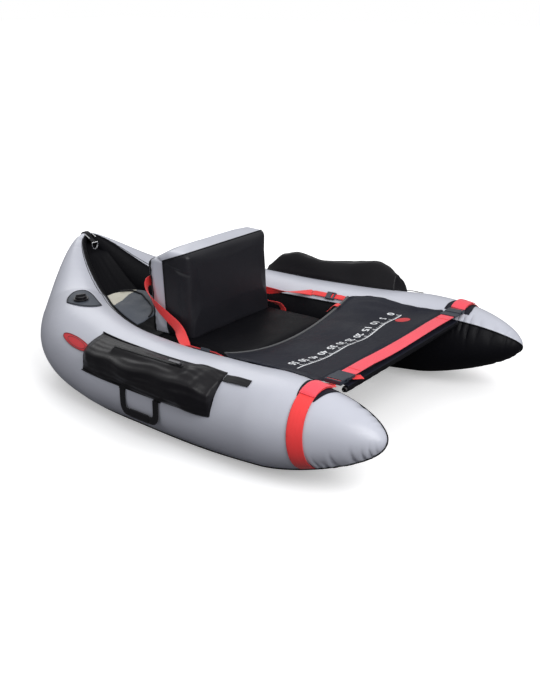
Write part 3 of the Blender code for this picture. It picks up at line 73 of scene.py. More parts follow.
view = {
    "place": (-2.328, -1.787, 1.228), "heading": 36.233, "pitch": -20.744, "lens": 49.16, "film": 36,
    "lamps": [("keyLamp", (-1.1, -2.6, 2.1), 2.2, 74), ("backLamp", (1.2, 2.2, 2.6), 2.2, 30),
              ("sideLamp", (-2.8, 0.6, 1.4), 1.6, 6)], "lampsAim": (0, 0, 0.2),
    "skyEdge": 0.18, "skyLight": 0.78, "skyTop": 0.9, "mirrored": 0.0, "floorSize": 30, "floorDrop": 0.001,
    "floorSeen": (0.93, 0.93, 0.94, 1), "floorBounce": (0.12, 0.12, 0.13, 1), "floorRough": 0.9,
    "glowReach": (0.8, 3.6), "glow": (0.32, 0.64),
}


def addObject(name, data):
    made = bpy.data.objects.new(name, data)
    bpy.context.collection.objects.link(made)
    return made


def meshFrom(name, bm):
    mesh = bpy.data.meshes.new(name)
    bm.to_mesh(mesh)
    bm.free()
    return mesh


def makeCamera():
    camera = addObject("camera", bpy.data.cameras.new("camera"))
    camera.data.sensor_fit = "VERTICAL"
    camera.data.sensor_height, camera.data.lens = view["film"], view["lens"]
    heading, pitch = radians(view["heading"]), radians(view["pitch"])
    look = Vector((cos(heading) * cos(pitch), sin(heading) * cos(pitch), sin(pitch)))
    camera.location = view["place"]
    camera.rotation_euler = look.to_track_quat("-Z", "Y").to_euler()
    bpy.context.scene.camera = camera


def makeLamps():
    for name, place, size, watts in view["lamps"]:
        lamp = addObject(name, bpy.data.lights.new(name, "AREA"))
        lamp.data.size, lamp.data.energy, lamp.location = size, watts, place
        lamp.rotation_euler = (Vector(view["lampsAim"]) - Vector(place)).to_track_quat("-Z", "Y").to_euler()


def nodeAdder(tree):
    def add(kind, inputs=None, **settings):
        node = tree.nodes.new("ShaderNode" + kind)
        for key, value in settings.items():
            setattr(node, key, value)
        for key, value in (inputs or {}).items():
            if isinstance(value, bpy.types.NodeSocket):
                tree.links.new(value, node.inputs[key])
            else:
                node.inputs[key].default_value = value
        return node
    return add


def calc(add, what, *values):
    return add("Math", dict(enumerate(values)), operation=what).outputs[0]


def ranged(add, value, first, last, low=0.0, high=1.0):
    return add("MapRange", {"Value": value, "From Min": first, "From Max": last, "To Min": low,
                            "To Max": high}).outputs[0]


def seenRays(add):
    # the camera sees the pale studio in full, and reflections as much of it as mirrored says
    path = add("LightPath").outputs
    dim = calc(add, "MULTIPLY", path["Is Glossy Ray"], view["mirrored"])
    first = calc(add, "MAXIMUM", path["Is Camera Ray"], dim)
    return calc(add, "MAXIMUM", first, path["Is Transmission Ray"])


def makeStudio():
    world = bpy.data.worlds.new("studio")
    bpy.context.scene.world = world
    world.use_nodes = True
    world.node_tree.nodes.clear()
    add = nodeAdder(world.node_tree)
    height = add("SeparateXYZ", {0: add("TexCoord").outputs["Generated"]}).outputs["Z"]
    sky = ranged(add, height, 0.0, view["skyTop"], view["skyEdge"], view["skyLight"])
    strength = add("Mix", {"Factor": seenRays(add), "A": sky, "B": 1.0}, data_type="FLOAT")
    back = add("Background", {"Color": (1, 1, 1, 1), "Strength": strength.outputs["Result"]})
    add("OutputWorld", {0: back.outputs[0]})
    paint = bpy.data.materials.new("studioFloor")
    paint.use_nodes = True
    add = nodeAdder(paint.node_tree)
    colour = add("Mix", {"Factor": seenRays(add), "A": view["floorBounce"], "B": view["floorSeen"]}, data_type="RGBA")
    # far from the boat, where the lamps don't reach, the floor shows white
    away = add("VectorMath", {0: add("TexCoord").outputs["Object"]}, operation="LENGTH").outputs["Value"]
    lit = calc(add, "MULTIPLY", ranged(add, away, *view["glowReach"], *view["glow"]), seenRays(add))
    shader = paint.node_tree.nodes["Principled BSDF"].inputs
    paint.node_tree.links.new(colour.outputs["Result"], shader["Base Color"])
    paint.node_tree.links.new(lit, shader["Emission Strength"])
    shader["Emission Color"].default_value = (1, 1, 1, 1)
    shader["Roughness"].default_value = view["floorRough"]
    shader["Specular IOR Level"].default_value = 0.0
    bm = bmesh.new()
    bmesh.ops.create_grid(bm, x_segments=2, y_segments=2, size=view["floorSize"])
    bmesh.ops.translate(bm, verts=bm.verts, vec=(0, 0, -view["floorDrop"]))
    floor = addObject("studioFloor", meshFrom("studioFloor", bm))
    floor.data.materials.append(paint)


print("stage 1: camera and studio")
makeCamera()
makeLamps()
makeStudio()
bpy.context.scene.view_settings.view_transform = "Standard"

# Shared effects as node groups

def makeGroup(name, inputs, outputs):
    # coordinates first, then the inputs with their usual values
    tree = bpy.data.node_groups.new(name, "ShaderNodeTree")
    tree.interface.new_socket("Vector", in_out="INPUT", socket_type="NodeSocketVector")
    for label, value in inputs.items():
        kind = "NodeSocketColor" if isinstance(value, tuple) else "NodeSocketFloat"
        tree.interface.new_socket(label, in_out="INPUT", socket_type=kind).default_value = value
    for label in outputs:
        kind = "NodeSocketColor" if label == "Color" else "NodeSocketFloat"
        tree.interface.new_socket(label, in_out="OUTPUT", socket_type=kind)
    given, out = tree.nodes.new("NodeGroupInput"), tree.nodes.new("NodeGroupOutput")
    return tree, nodeAdder(tree), given.outputs, out.inputs


def makeWeave():
    # threads crossing in three directions, so that it reads on any face
    tree, add, given, out = makeGroup("weave", {"Scale": 300.0}, ["Height"])
    waves = [add("TexWave", {"Vector": given["Vector"], "Scale": given["Scale"], "Distortion": 0.4,
                             "Detail Scale": 0.6}, bands_direction=way).outputs["Fac"] for way in "XYZ"]
    total = calc(add, "ADD", calc(add, "ADD", waves[0], waves[1]), waves[2])
    tree.links.new(calc(add, "MULTIPLY", total, 0.333), out["Height"])
    return tree


def makeRibs():
    # webbing: ribs along the strap, crossed by its fine weft
    tree, add, given, out = makeGroup("ribs", {"Scale": 150.0}, ["Height"])
    along = add("TexWave", {"Vector": given["Vector"], "Scale": given["Scale"]}, bands_direction="Y")
    across = add("TexWave", {"Vector": given["Vector"], "Scale": calc(add, "MULTIPLY", given["Scale"], 1.7),
                             "Distortion": 1.5, "Detail Scale": 2.0}, bands_direction="DIAGONAL")
    tree.links.new(calc(add, "MULTIPLY", along.outputs["Fac"], across.outputs["Fac"]), out["Height"])
    return tree


def makeCreases():
    # thin ridges of handled cloth
    tree, add, given, out = makeGroup("creases", {"Scale": 9.0}, ["Height"])
    cloud = add("TexNoise", {"Vector": given["Vector"], "Scale": given["Scale"], "Detail": 3.0,
                             "Roughness": 0.45, "Distortion": 0.8}).outputs["Fac"]
    ridge = calc(add, "ABSOLUTE", calc(add, "SUBTRACT", cloud, 0.5))
    tree.links.new(calc(add, "POWER", ridge, 0.35), out["Height"])
    return tree


def makeSmudge():
    # uneven colour and gloss from handling, with a little pale dust
    tree, add, given, out = makeGroup(
        "smudge", {"Base": (0.5, 0.5, 0.5, 1), "Scale": 6.0, "Change": 0.12, "Dust": 0.02, "Rough": 0.5},
        ["Color", "Rough"])
    broad = add("TexNoise", {"Vector": given["Vector"], "Scale": given["Scale"], "Detail": 4.0,
                             "Roughness": 0.55}).outputs["Fac"]
    specks = add("TexNoise", {"Vector": given["Vector"], "Scale": 160.0, "Detail": 2.0}).outputs["Fac"]
    change = calc(add, "MULTIPLY", ranged(add, broad, 0.3, 0.7, -1.0, 1.0), given["Change"])
    worn = add("VectorMath", {0: given["Base"], "Scale": calc(add, "ADD", change, 1.0)}, operation="SCALE")
    dusty = calc(add, "MULTIPLY", ranged(add, specks, 0.55, 0.75), given["Dust"])
    colour = add("Mix", {"Factor": dusty, "A": worn.outputs[0], "B": (0.55, 0.54, 0.52, 1)}, data_type="RGBA")
    tree.links.new(colour.outputs["Result"], out["Color"])
    tree.links.new(calc(add, "ADD", change, given["Rough"]), out["Rough"])
    return tree


effects = {"weave": makeWeave(), "ribs": makeRibs(), "creases": makeCreases(), "smudge": makeSmudge()}

# slot, colour, roughness, uneven tone, dust, and patterns: effect, coordinates, scale, depth in millimetres
finishes = {
    "coverGrey": ("cover_grey", (0.50, 0.515, 0.585), 0.36, 0.03, 0.02,
                  [("weave", "Object", 260, 0.04), ("creases", "Object", 5, 0.6)], {"coat": 0.15}),
    "nylonBlack": ("nylon_black", (0.0045, 0.0045, 0.0062), 0.52, 0.10, 0.003,
                   [("weave", "Object", 300, 0.05), ("creases", "Object", 9, 0.6)], {"shine": 0.10}),
    "padBlack": ("nylon_black", (0.012, 0.012, 0.016), 0.40, 0.08, 0.004,
                 [("weave", "Object", 300, 0.06), ("creases", "Object", 4, 0.4)], {"sheen": 0.02, "shine": 0.30}),
    "bagBlack": ("nylon_black", (0.0065, 0.006, 0.008), 0.40, 0.03, 0.003,
                 [("weave", "UV", 330, 0.04), ("creases", "Object", 8, 0.4)], {"sheen": 0.01, "shine": 0.22}),
    "apronNavy": ("apron_navy", (0.0092, 0.0105, 0.019), 0.46, 0.08, 0.005,
                  [("weave", "UV", 300, 0.05), ("creases", "Object", 6, 0.8)], {"sheen": 0.01, "shine": 0.13}),
    "slateCloth": ("slate_fabric", (0.050, 0.060, 0.078), 0.6, 0.1, 0.01,
                   [("weave", "UV", 300, 0.06), ("creases", "Object", 8, 0.6)], {"sheen": 0.03, "shine": 0.25}),
    # painted highlight: this pale finish on the rear part of the slate cargo flap stands in for light catching the
    # cloth
    "beigeLining": ("slate_fabric", (0.52, 0.50, 0.42), 0.7, 0.12, 0.03,
                    [("weave", "UV", 260, 0.05), ("creases", "Object", 8, 0.8)], {"sheen": 0.1}),
    "webbingRed": ("webbing_red", (0.86, 0.040, 0.042), 0.58, 0.05, 0.01, [("ribs", "UV", 150, 0.25)],
                   {"sheen": 0.15}),
    "webbingRose": ("webbing_red", (0.86, 0.060, 0.095), 0.58, 0.05, 0.01, [("ribs", "UV", 150, 0.25)],
                    {"sheen": 0.15}),
    "webbingBlack": ("webbing_black", (0.010, 0.010, 0.012), 0.55, 0.1, 0.006, [("ribs", "UV", 150, 0.25)],
                     {"sheen": 0.02, "shine": 0.2}),
    "pipingBlack": ("piping_black", (0.008, 0.008, 0.010), 0.5, 0.1, 0.005, [("ribs", "UV", 200, 0.1)],
                    {"shine": 0.2}),
    "hemGrey": ("hem_grey", (0.060, 0.063, 0.068), 0.6, 0.1, 0.02, [("ribs", "UV", 200, 0.1)], {"sheen": 0.1}),
    "slatePlastic": ("slate_plastic", (0.022, 0.028, 0.042), 0.36, 0.06, 0.02, [("weave", "Object", 900, 0.02)], {}),
    "valvePlastic": ("slate_plastic", (0.009, 0.009, 0.011), 0.32, 0.06, 0.004, [("weave", "Object", 900, 0.02)],
                     {"shine": 0.3}),
    "ringSteel": ("ring_metal", (0.62, 0.63, 0.64), 0.24, 0.04, 0.0, [("weave", "Object", 700, 0.01)], {"metal": 1.0}),
    "pullMetal": ("ring_metal", (0.10, 0.10, 0.11), 0.38, 0.06, 0.0, [("weave", "Object", 700, 0.01)], {"metal": 1.0}),
    "barMetal": ("bar_metal", (0.22, 0.22, 0.23), 0.48, 0.05, 0.0, [("weave", "Object", 500, 0.01)], {"metal": 1.0}),
    "badgeRed": ("badge_red", (0.62, 0.035, 0.045), 0.42, 0.08, 0.04, [("weave", "UV", 260, 0.06)], {}),
    "badgeDark": ("badge_red", (0.20, 0.030, 0.040), 0.45, 0.08, 0.02, [("weave", "UV", 260, 0.06)], {}),
    "printWhite": (None, (0.80, 0.82, 0.85), 0.55, 0.06, 0.0, [("weave", "Object", 300, 0.03)], {}),
    "bladderFilm": ("bladder_film", (0.30, 0.32, 0.34), 0.35, 0.05, 0.0, [("creases", "Object", 8, 0.4)], {}),
}


def finish(name):
    found = bpy.data.materials.get(name)
    if found:
        return found
    slot, colour, rough, uneven, dust, patterns, more = finishes[name]
    made = bpy.data.materials.new(name)
    made.use_nodes = True
    add = nodeAdder(made.node_tree)
    shader = made.node_tree.nodes["Principled BSDF"].inputs
    place = add("TexCoord").outputs
    surface = add("Group", {"Vector": place["Object"], "Base": (*colour, 1), "Change": uneven, "Dust": dust,
                            "Rough": rough}, node_tree=effects["smudge"])
    made.node_tree.links.new(surface.outputs["Color"], shader["Base Color"])
    made.node_tree.links.new(surface.outputs["Rough"], shader["Roughness"])
    normal = None
    for kind, coordinates, scale, depth in patterns:
        height = add("Group", {"Vector": place[coordinates], "Scale": scale}, node_tree=effects[kind])
        bump = add("Bump", {"Height": height.outputs["Height"], "Distance": depth * 0.001})
        if normal:
            made.node_tree.links.new(normal, bump.inputs["Normal"])
        normal = bump.outputs[0]
    made.node_tree.links.new(normal, shader["Normal"])
    for socket, value in (("Metallic", more.get("metal", 0.0)), ("Sheen Weight", more.get("sheen", 0.0)),
                          ("Sheen Roughness", 0.45), ("Specular IOR Level", more.get("shine", 0.5)),
                          ("Coat Weight", more.get("coat", 0.0)), ("Coat Roughness", 0.35)):
        shader[socket].default_value = value
    return made


# The pontoon's line: x, y, z of its centre and its radius, bow to stern

pontoon = {
    "stations": [(0.43, -0.75472, 0.16764, 0.132), (0.43086, -0.62973, 0.16236, 0.132),
                 (0.42914, -0.41416, 0.14322, 0.13068), (0.41538, -0.22554, 0.12883, 0.132),
                 (0.40205, 0.02372, 0.12606, 0.1291), (0.36679, 0.27222, 0.13094, 0.13398),
                 (0.32121, 0.41892, 0.14447, 0.1386), (0.2107, 0.57237, 0.16412, 0.1254),
                 (0.0, 0.74227, 0.389, 0.014)],
    "bowTaper": 0.35, "bowPower": 1.5, "bowFullness": 0.58, "tip": 0.004, "rings": 300,
    "outerSeam": -60, "innerSeam": 135, "pucker": 0.0076, "puckerPitch": 0.046, "puckerReach": 0.052,
    "seams": [(-60, 0.0, 1.0), (135, 1.7, 0.55)],  # where cloth gathers: angle, phase, strength
    "broad": 0.0022, "wall": 0.003, "bladderGap": 0.0068, "bead": 0.0019, "cargoTape": (0.25, 128, 0.0012),
}


def lineThrough(rows):
    rows = [Vector(row) for row in rows]
    mirror = rows[-2].copy()
    mirror[0] = -mirror[0]
    padded = [2 * rows[0] - rows[1]] + rows + [mirror]
    chords = [(b.xyz - a.xyz).length for a, b in zip(padded, padded[1:])]
    slopes = []
    for i in range(1, len(padded) - 1):
        before = (padded[i] - padded[i - 1]) / chords[i - 1]
        after = (padded[i + 1] - padded[i]) / chords[i]
        slopes.append((before * chords[i] + after * chords[i - 1]) / (chords[i - 1] + chords[i]))
    knots = [0.0]
    for chord in chords[1:-1]:
        knots.append(knots[-1] + chord)
    return knots, rows, slopes


knots, stations, slopes = lineThrough(pontoon["stations"])
pathLength = knots[-1]
ringCache = {}


def clamp(value):
    return min(1.0, max(0.0, value))


def hump(value, middle, reach):
    return exp(-((value - middle) / reach)**2)


def steps(first, last, count):
    return [first + (last - first) * i / count for i in range(count + 1)]


def centreAt(d):
    d = min(max(d, 0.0), pathLength)
    i = max(k for k, knot in enumerate(knots[:-1]) if knot <= d)
    chord = knots[i + 1] - knots[i]
    t = (d - knots[i]) / chord
    row = (stations[i] * (2 * t**3 - 3 * t**2 + 1) + slopes[i] * chord * (t**3 - 2 * t**2 + t)
           + stations[i + 1] * (3 * t**2 - 2 * t**3) + slopes[i + 1] * chord * (t**3 - t**2))
    radius, tip = row[3], pontoon["tip"]
    if d < pontoon["bowTaper"]:
        run = 1 - d / pontoon["bowTaper"]
        radius = tip + (radius - tip) * (1 - run**pontoon["bowPower"])**pontoon["bowFullness"]
    return row.xyz, max(radius, tip)


def ringAt(d):
    key = round(d, 6)
    if key not in ringCache:
        step = pathLength / 2000
        here, radius = centreAt(d)
        tangent = Vector((-1, 0, 0))
        if d < pathLength - step:
            tangent = (centreAt(d + step)[0] - centreAt(max(d - step, 0))[0]).normalized()
        outward = Vector((tangent.y, -tangent.x, 0)).normalized()
        ringCache[key] = (here, radius, outward, outward.cross(tangent))
    return ringCache[key]


def tubePoint(d, angle, lift=0.0, side=1):
    here, radius, outward, upward = ringAt(d)
    turn = radians(angle)
    point = here + (outward * cos(turn) + upward * sin(turn)) * max(radius + lift, 0.001)
    return Vector((max(point.x, 0.00015) * side, point.y, max(point.z, -min(lift, 0))))


def tubeNormal(d, angle, side=1):
    step = 0.003
    along = tubePoint(min(d + step, pathLength), angle, 0, side) - tubePoint(max(d - step, 0), angle, 0, side)
    around = tubePoint(d, angle + 1, 0, side) - tubePoint(d, angle - 1, 0, side)
    normal = along.cross(around).normalized()
    here = centreAt(d)[0]
    outward = tubePoint(d, angle, 0, side) - Vector((here.x * side, here.y, here.z))
    return normal if normal.dot(outward) > 0 else -normal


def distanceAt(y):
    low, high = 0.0, pathLength
    while high - low > 0.0002:
        middle = (low + high) / 2
        low, high = (middle, high) if centreAt(middle)[0].y < y else (low, middle)
    return (low + high) / 2


# Making pieces

def runLength(points):
    return sum((b - a).length for a, b in zip(points, points[1:]))


def smoothLine(points, count):
    # Catmull-Rom through the points, evenly shared out
    points = [Vector(p) for p in points]
    padded = [2 * points[0] - points[1]] + points + [2 * points[-1] - points[-2]]
    fine = []
    for a, b, c, d in zip(padded, padded[1:], padded[2:], padded[3:]):
        for t in steps(0, 1, 12)[:-1]:
            fine.append((2 * b + (c - a) * t + (2 * a - 5 * b + 4 * c - d) * t * t
                         + (3 * b - a - 3 * c + d) * t**3) / 2)
    fine.append(points[-1])
    total, reached, made = runLength(fine), 0.0, [fine[0]]
    for a, b in zip(fine, fine[1:]):
        size = (b - a).length
        while size and reached + size >= total * len(made) / count and len(made) < count:
            made.append(a.lerp(b, (total * len(made) / count - reached) / size))
        reached += size
    return made + [fine[-1]]


def loft(table, closed=False, caps=False):
    # a grid whose points move to the table's places; its UV is in metres
    if closed:
        table = [row + row[:1] for row in table]
    rows, columns = len(table), len(table[0])
    along, around = runLength([row[columns // 3] for row in table]), runLength(table[rows // 2])
    bm = bmesh.new()
    metres = bm.loops.layers.uv.new("metres")
    bmesh.ops.create_grid(bm, x_segments=rows - 1, y_segments=columns - 1, size=0.5)
    for face in bm.faces:
        for loop in face.loops:
            loop[metres].uv = ((loop.vert.co.x + 0.5) * along, (loop.vert.co.y + 0.5) * around)
    for vert in bm.verts:
        i, j = round((vert.co.x + 0.5) * (rows - 1)), round((vert.co.y + 0.5) * (columns - 1))
        vert.co = table[i][j]
    if closed:
        bmesh.ops.remove_doubles(bm, verts=bm.verts, dist=0.000001)
    if caps:
        bmesh.ops.holes_fill(bm, edges=[e for e in bm.edges if e.is_boundary], sides=0)
    bmesh.ops.recalc_face_normals(bm, faces=bm.faces)
    return bm


def joinInto(target, bm):
    mesh = meshFrom("joinWork", bm)
    target.from_mesh(mesh)
    bpy.data.meshes.remove(mesh)


def solid(table):
    return loft(table, closed=True, caps=True)


def addPiece(name, bm, look, body="hull", nodes=(), crease=60, thick=0):
    if bm.calc_volume(signed=True) < 0 and not any(e.is_boundary for e in bm.edges):
        bmesh.ops.reverse_faces(bm, faces=bm.faces)
    mesh = meshFrom(name, bm)
    mesh.shade_smooth()
    mesh.set_sharp_from_angle(angle=radians(crease))
    looks = [look] if isinstance(look, str) else look
    for each in looks:
        mesh.materials.append(finish(each))
    piece = addObject(name, mesh)
    if thick:
        wall = piece.modifiers.new("thickness", "SOLIDIFY")
        wall.thickness, wall.offset = thick, 0
    if body:
        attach(piece, body)
    if nodes:
        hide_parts(*nodes)
    return piece


def strapTable(points, facings, width, thick):
    # rounded webbing section carried along the points
    rows = []
    for i, point in enumerate(points):
        ahead = points[min(i + 1, len(points) - 1)] - points[max(i - 1, 0)]
        across = ahead.cross(facings[i].normalized()).normalized()
        up = across.cross(ahead).normalized()
        row = []
        for k in range(20):
            turn = 2 * pi * (k + 0.5) / 20
            c, s = cos(turn), sin(turn)
            row.append(point + across * (width / 2 * abs(c)**0.35 * (1 if c > 0 else -1))
                       + up * (thick / 2 * abs(s)**0.45 * (1 if s > 0 else -1)))
        rows.append(row)
    return rows


def strap(name, points, facings, width, look, body="hull", nodes=(), thick=0.0024):
    return addPiece(name, solid(strapTable(points, facings, width, thick)), look, body, nodes, crease=50)


def roundBar(points, radius, count=10, endless=False):
    rows, normal = [], None
    for i, point in enumerate(points):
        ahead = (points[(i + 1) % len(points)] - points[i - 1]) if endless else (
            points[min(i + 1, len(points) - 1)] - points[max(i - 1, 0)])
        ahead.normalize()
        normal = ahead.orthogonal() if normal is None else normal
        normal = (normal - ahead * normal.dot(ahead)).normalized()
        side = ahead.cross(normal)
        rows.append([point + (normal * cos(2 * pi * k / count) + side * sin(2 * pi * k / count)) * radius
                     for k in range(count)])
    if endless:
        rows.append(rows[0])
    return loft(rows, closed=True, caps=not endless)


def bead(name, line, radius, count, look="pipingBlack", body="hull", nodes=(), endless=False):
    return addPiece(name, roundBar(line, radius, count, endless), look, body, nodes)


def stitch(name, line, look="webbingBlack", radius=0.0007):
    return bead(name, line, radius, 6, look)


# Pontoon covers: the cloth gathers along both seams and swells softly between them

def skinLift(d, angle, side):
    gather = 0.0
    for seam, phase, force in pontoon["seams"]:
        away = abs((angle - seam + 180) % 360 - 180) * pi / 180 * centreAt(d)[1]
        strength = 0.06 + 0.30 * hump(d, 0, 0.2) + 0.7 * hump(d, 0.13, 0.075) + 0.2 * hump(d, pathLength, 0.2)
        wander = 2.6 * noise.noise(Vector((d * 9, phase, side * 3.0)))
        wave = 1 - 2 * (1 - abs(sin(2 * pi * d / pontoon["puckerPitch"] + 3 * wander + phase)))**1.6
        long = pontoon["puckerReach"] * (0.7 + 0.5 * noise.noise(Vector((d * 31, side, phase))))
        gather += (wave - 0.5) * strength * force * hump(away, 0, max(long, 0.01)) * min(1.0, away / 0.006)
    turn = radians(angle)
    broad = noise.noise(Vector((d * 5.5, cos(turn) * 1.4 + side * 7, sin(turn) * 1.4)))
    fade = min(1.0, d / 0.12, (pathLength - d) / 0.1 + 0.15)
    return gather * pontoon["pucker"] * min(1.0, d / 0.03) + broad * pontoon["broad"] * max(fade, 0)


def onSkin(d, angle, lift, side):
    return tubePoint(d, angle, 0, side) + tubeNormal(d, angle, side) * (lift + skinLift(d, angle, side))


def coverPiece(side, name, first, last, count, look, node):
    places = [pontoon["bowTaper"] * (i / 100)**1.5 for i in range(100)]
    places += steps(pontoon["bowTaper"], pathLength, pontoon["rings"])
    table = [[tubePoint(d, a, skinLift(d, a, side), side) for a in steps(first, last, count)]
             + [tubePoint(d, a, -pontoon["wall"], side) for a in steps(last, first, 12)] for d in places]
    addPiece(name, solid(table), look, "hull", [node], crease=45)


def makePontoons():
    outer, inner = pontoon["outerSeam"], pontoon["innerSeam"]
    for word, side in sides.items():
        coverPiece(side, word + "UpperCover", outer, inner, 44, "coverGrey", word + "_cover_upper")
        coverPiece(side, word + "LowerCover", inner, outer + 360, 38, "nylonBlack", word + "_cover_lower")
        air = solid([[tubePoint(d, a, -pontoon["bladderGap"], side) for a in steps(0, 348, 29)]
                     for d in steps(0.0165, pathLength * 0.93, 70)])
        addPiece(word + "AirTube", air, "bladderFilm", "hull", [word + "_bladder"])
        along = [0.0002 + 0.35 * (i / 60)**1.5 for i in range(60)] + steps(0.35, pathLength - 0.02, 240)
        lines = [[tubePoint(d, seam, 0, side) + tubeNormal(d, seam, side) * 0.0016 for d in along]
                 for seam in (inner, outer)]
        tip = centreAt(0)[0]
        line = lines[0][::-1] + [Vector((tip.x * side, tip.y - 0.0030, tip.z))] + lines[1]
        bead(word + "SeamPiping", line, pontoon["bead"], 10, nodes=[word + "_seam_piping"])
        # a second line of tape beside the inner seam, round the cargo space
        start, angle, radius = pontoon["cargoTape"]
        line = [onSkin(d, angle, 0.0002, side) for d in steps(distanceAt(start), pathLength - 0.05, 160)]
        bead(word + "CargoTape", line, radius, 6)
    print("stage 2: pontoon covers, air tubes and piping")


makePontoons()

# Air cushions

def applyAll(piece):
    depsgraph = bpy.context.evaluated_depsgraph_get()
    made = bpy.data.meshes.new_from_object(piece.evaluated_get(depsgraph))
    piece.modifiers.clear()
    old, piece.data = piece.data, made
    bpy.data.meshes.remove(old)


def finer(piece):
    # one subdivision, given back as a bmesh
    smooth = piece.modifiers.new("fine", "SUBSURF")
    smooth.levels = smooth.render_levels = 1
    applyAll(piece)
    made = bmesh.new()
    made.from_mesh(piece.data)
    bpy.data.objects.remove(piece)
    return made


def blow(piece, pressure, cap, frames=20, shrink=0.0, pins=(), stiff=15, even=1):
    # cloth under air pressure, its swelling evened out, no point moving further than cap
    start = [v.co.copy() for v in piece.data.vertices]
    cloth = piece.modifiers.new("cloth", "CLOTH")
    setup = cloth.settings
    setup.quality = 5
    setup.use_pressure = True
    setup.uniform_pressure_force = pressure
    setup.effector_weights.gravity = 0
    setup.tension_stiffness = setup.compression_stiffness = stiff
    setup.shrink_min = shrink
    if pins:
        piece.vertex_groups.new(name="pins").add(list(pins), 1.0, "REPLACE")
        setup.vertex_group_mass = "pins"
    cloth.point_cache.frame_start, cloth.point_cache.frame_end = 1, frames
    for frame in range(1, frames + 1):
        bpy.context.scene.frame_set(frame)
    settled = piece.evaluated_get(bpy.context.evaluated_depsgraph_get())
    moved = [v.co.copy() for v in settled.data.vertices]
    piece.modifiers.clear()
    bpy.context.scene.frame_set(1)
    moves = numpy.array([now - was for now, was in zip(moved, start)])
    ends = numpy.array([tuple(e.vertices) for e in piece.data.edges])
    count = numpy.bincount(ends.ravel(), minlength=len(moves)).reshape(-1, 1)
    for _ in range(even):
        total = numpy.zeros_like(moves)
        numpy.add.at(total, ends[:, 0], moves[ends[:, 1]])
        numpy.add.at(total, ends[:, 1], moves[ends[:, 0]])
        moves = moves * 0.4 + total / count * 0.6
    for vert, was, way in zip(piece.data.vertices, start, moves):
        way = Vector(way)
        vert.co = was + way * min(1.0, cap / max(way.length, 1e-6))
    piece.vertex_groups.clear()


def airCushion(bm, voxel, pressure, cap):
    work = addObject("cushionWork", meshFrom("cushionWork", bm))
    remesh = work.modifiers.new("remesh", "REMESH")
    remesh.mode, remesh.voxel_size = "VOXEL", voxel
    applyAll(work)
    blow(work, pressure, cap, even=70)
    made = finer(work)
    bmesh.ops.smooth_vert(made, verts=made.verts, factor=0.5, use_axis_x=True, use_axis_y=True, use_axis_z=True)
    return made


def roundBox(size, middle, sideRound, frontRound, rearRound):
    bm = bmesh.new()
    bmesh.ops.create_cube(bm, size=1, matrix=Matrix.Translation(middle) @ Matrix.Diagonal((*size, 1)))
    long = [e for e in bm.edges if abs(e.verts[0].co.y - e.verts[1].co.y) > size[1] / 2]
    bmesh.ops.bevel(bm, geom=long, offset=sideRound, segments=6, affect="EDGES", profile=0.5, material=-1)
    for y, rounding in ((middle.y - size[1] / 2, frontRound), (middle.y + size[1] / 2, rearRound)):
        rim = [e for e in bm.edges if all(abs(v.co.y - y) < 1e-5 for v in e.verts) and len(e.link_faces) == 2
               and any(len(f.verts) < 5 for f in e.link_faces)]
        bmesh.ops.bevel(bm, geom=rim, offset=rounding, segments=6, affect="EDGES", profile=0.5, material=-1)
    return bm


backrest = {
    "width": 0.414, "depth": 0.168, "height": 0.273, "extra": 0.0012, "buried": 0.014, "front": 0.0699,
    "base": 0.1975, "lean": 0.05, "middle": 0.083, "roundings": (0.015, 0.018, 0.008), "frontSeam": 0.0970,
    "rearSeam": 0.1540, "topSeam": 0.004, "sideSeamTop": 0.436, "shoulder": 0.074, "slope": 0.46, "voxel": 0.006,
    "pressure": 2.5, "cap": 0.005, "halfWidth": 0.209, "crown": 0.004, "wall": 0.003, "bladderGap": 0.006,
    "parts": [("backrestFront", "padBlack", "backrest_front"), ("backrestGusset", "coverGrey", "backrest_gusset"),
              ("backrestRear", "padBlack", "backrest_panel")],
}


def edgeLoop(bm, edges):
    edges = set(edges)
    start = next(iter(edges)).verts[0]
    here, made = start, []
    while True:
        made.append(here.co.copy())
        nextEdge = next((e for e in here.link_edges if e in edges), None)
        if nextEdge is None:
            return made
        edges.discard(nextEdge)
        here = nextEdge.other_vert(here)
        if here == start:
            return made


def cutBy(bm, spot, facing):
    bmesh.ops.bisect_plane(bm, geom=bm.verts[:] + bm.edges[:] + bm.faces[:], plane_co=spot, plane_no=facing,
                           dist=1e-6)


def settleBackrest(vert, centre):
    # seams that pull in, a crease across each side near the top, and soft unevenness
    b, p = backrest, vert.co
    rise = p.z - b["base"]
    depth = p.y - b["front"] - rise * b["lean"]
    out = Vector((p.x, 0, p.z - centre.z)).normalized()
    around = atan2(p.z - centre.z, p.x)
    for seam in (b["frontSeam"], b["rearSeam"]):
        near = hump(depth, seam, 0.010) * (1.0 if seam > 0.12 else clamp((0.44 - p.z) / 0.02))
        p -= out * near * (0.0018 + 0.0010 * sin(around * 46 + 3 * sin(around * 7)) * hump(depth, seam, 0.022))
    crease = hump(p.z, 0.422 + 0.30 * (p.y - 0.15), 0.005) * clamp((abs(p.x) - 0.19) / 0.012)
    p.x -= 0.0045 * crease * (1 if p.x > 0 else -1)
    p += vert.normal * 0.0016 * noise.noise(p * 11)
    p.z = min(max(p.z, b["base"]), b["base"] + b["height"] + b["crown"])
    p.x = min(max(p.x, -b["halfWidth"]), b["halfWidth"])
    # the front stays clear of the seat when the backrest folds onto it
    rise = p.z - b["base"]
    p.y = max(p.y, b["front"] + 0.0008 + rise * b["lean"] - min(0.07 * rise, 0.006))


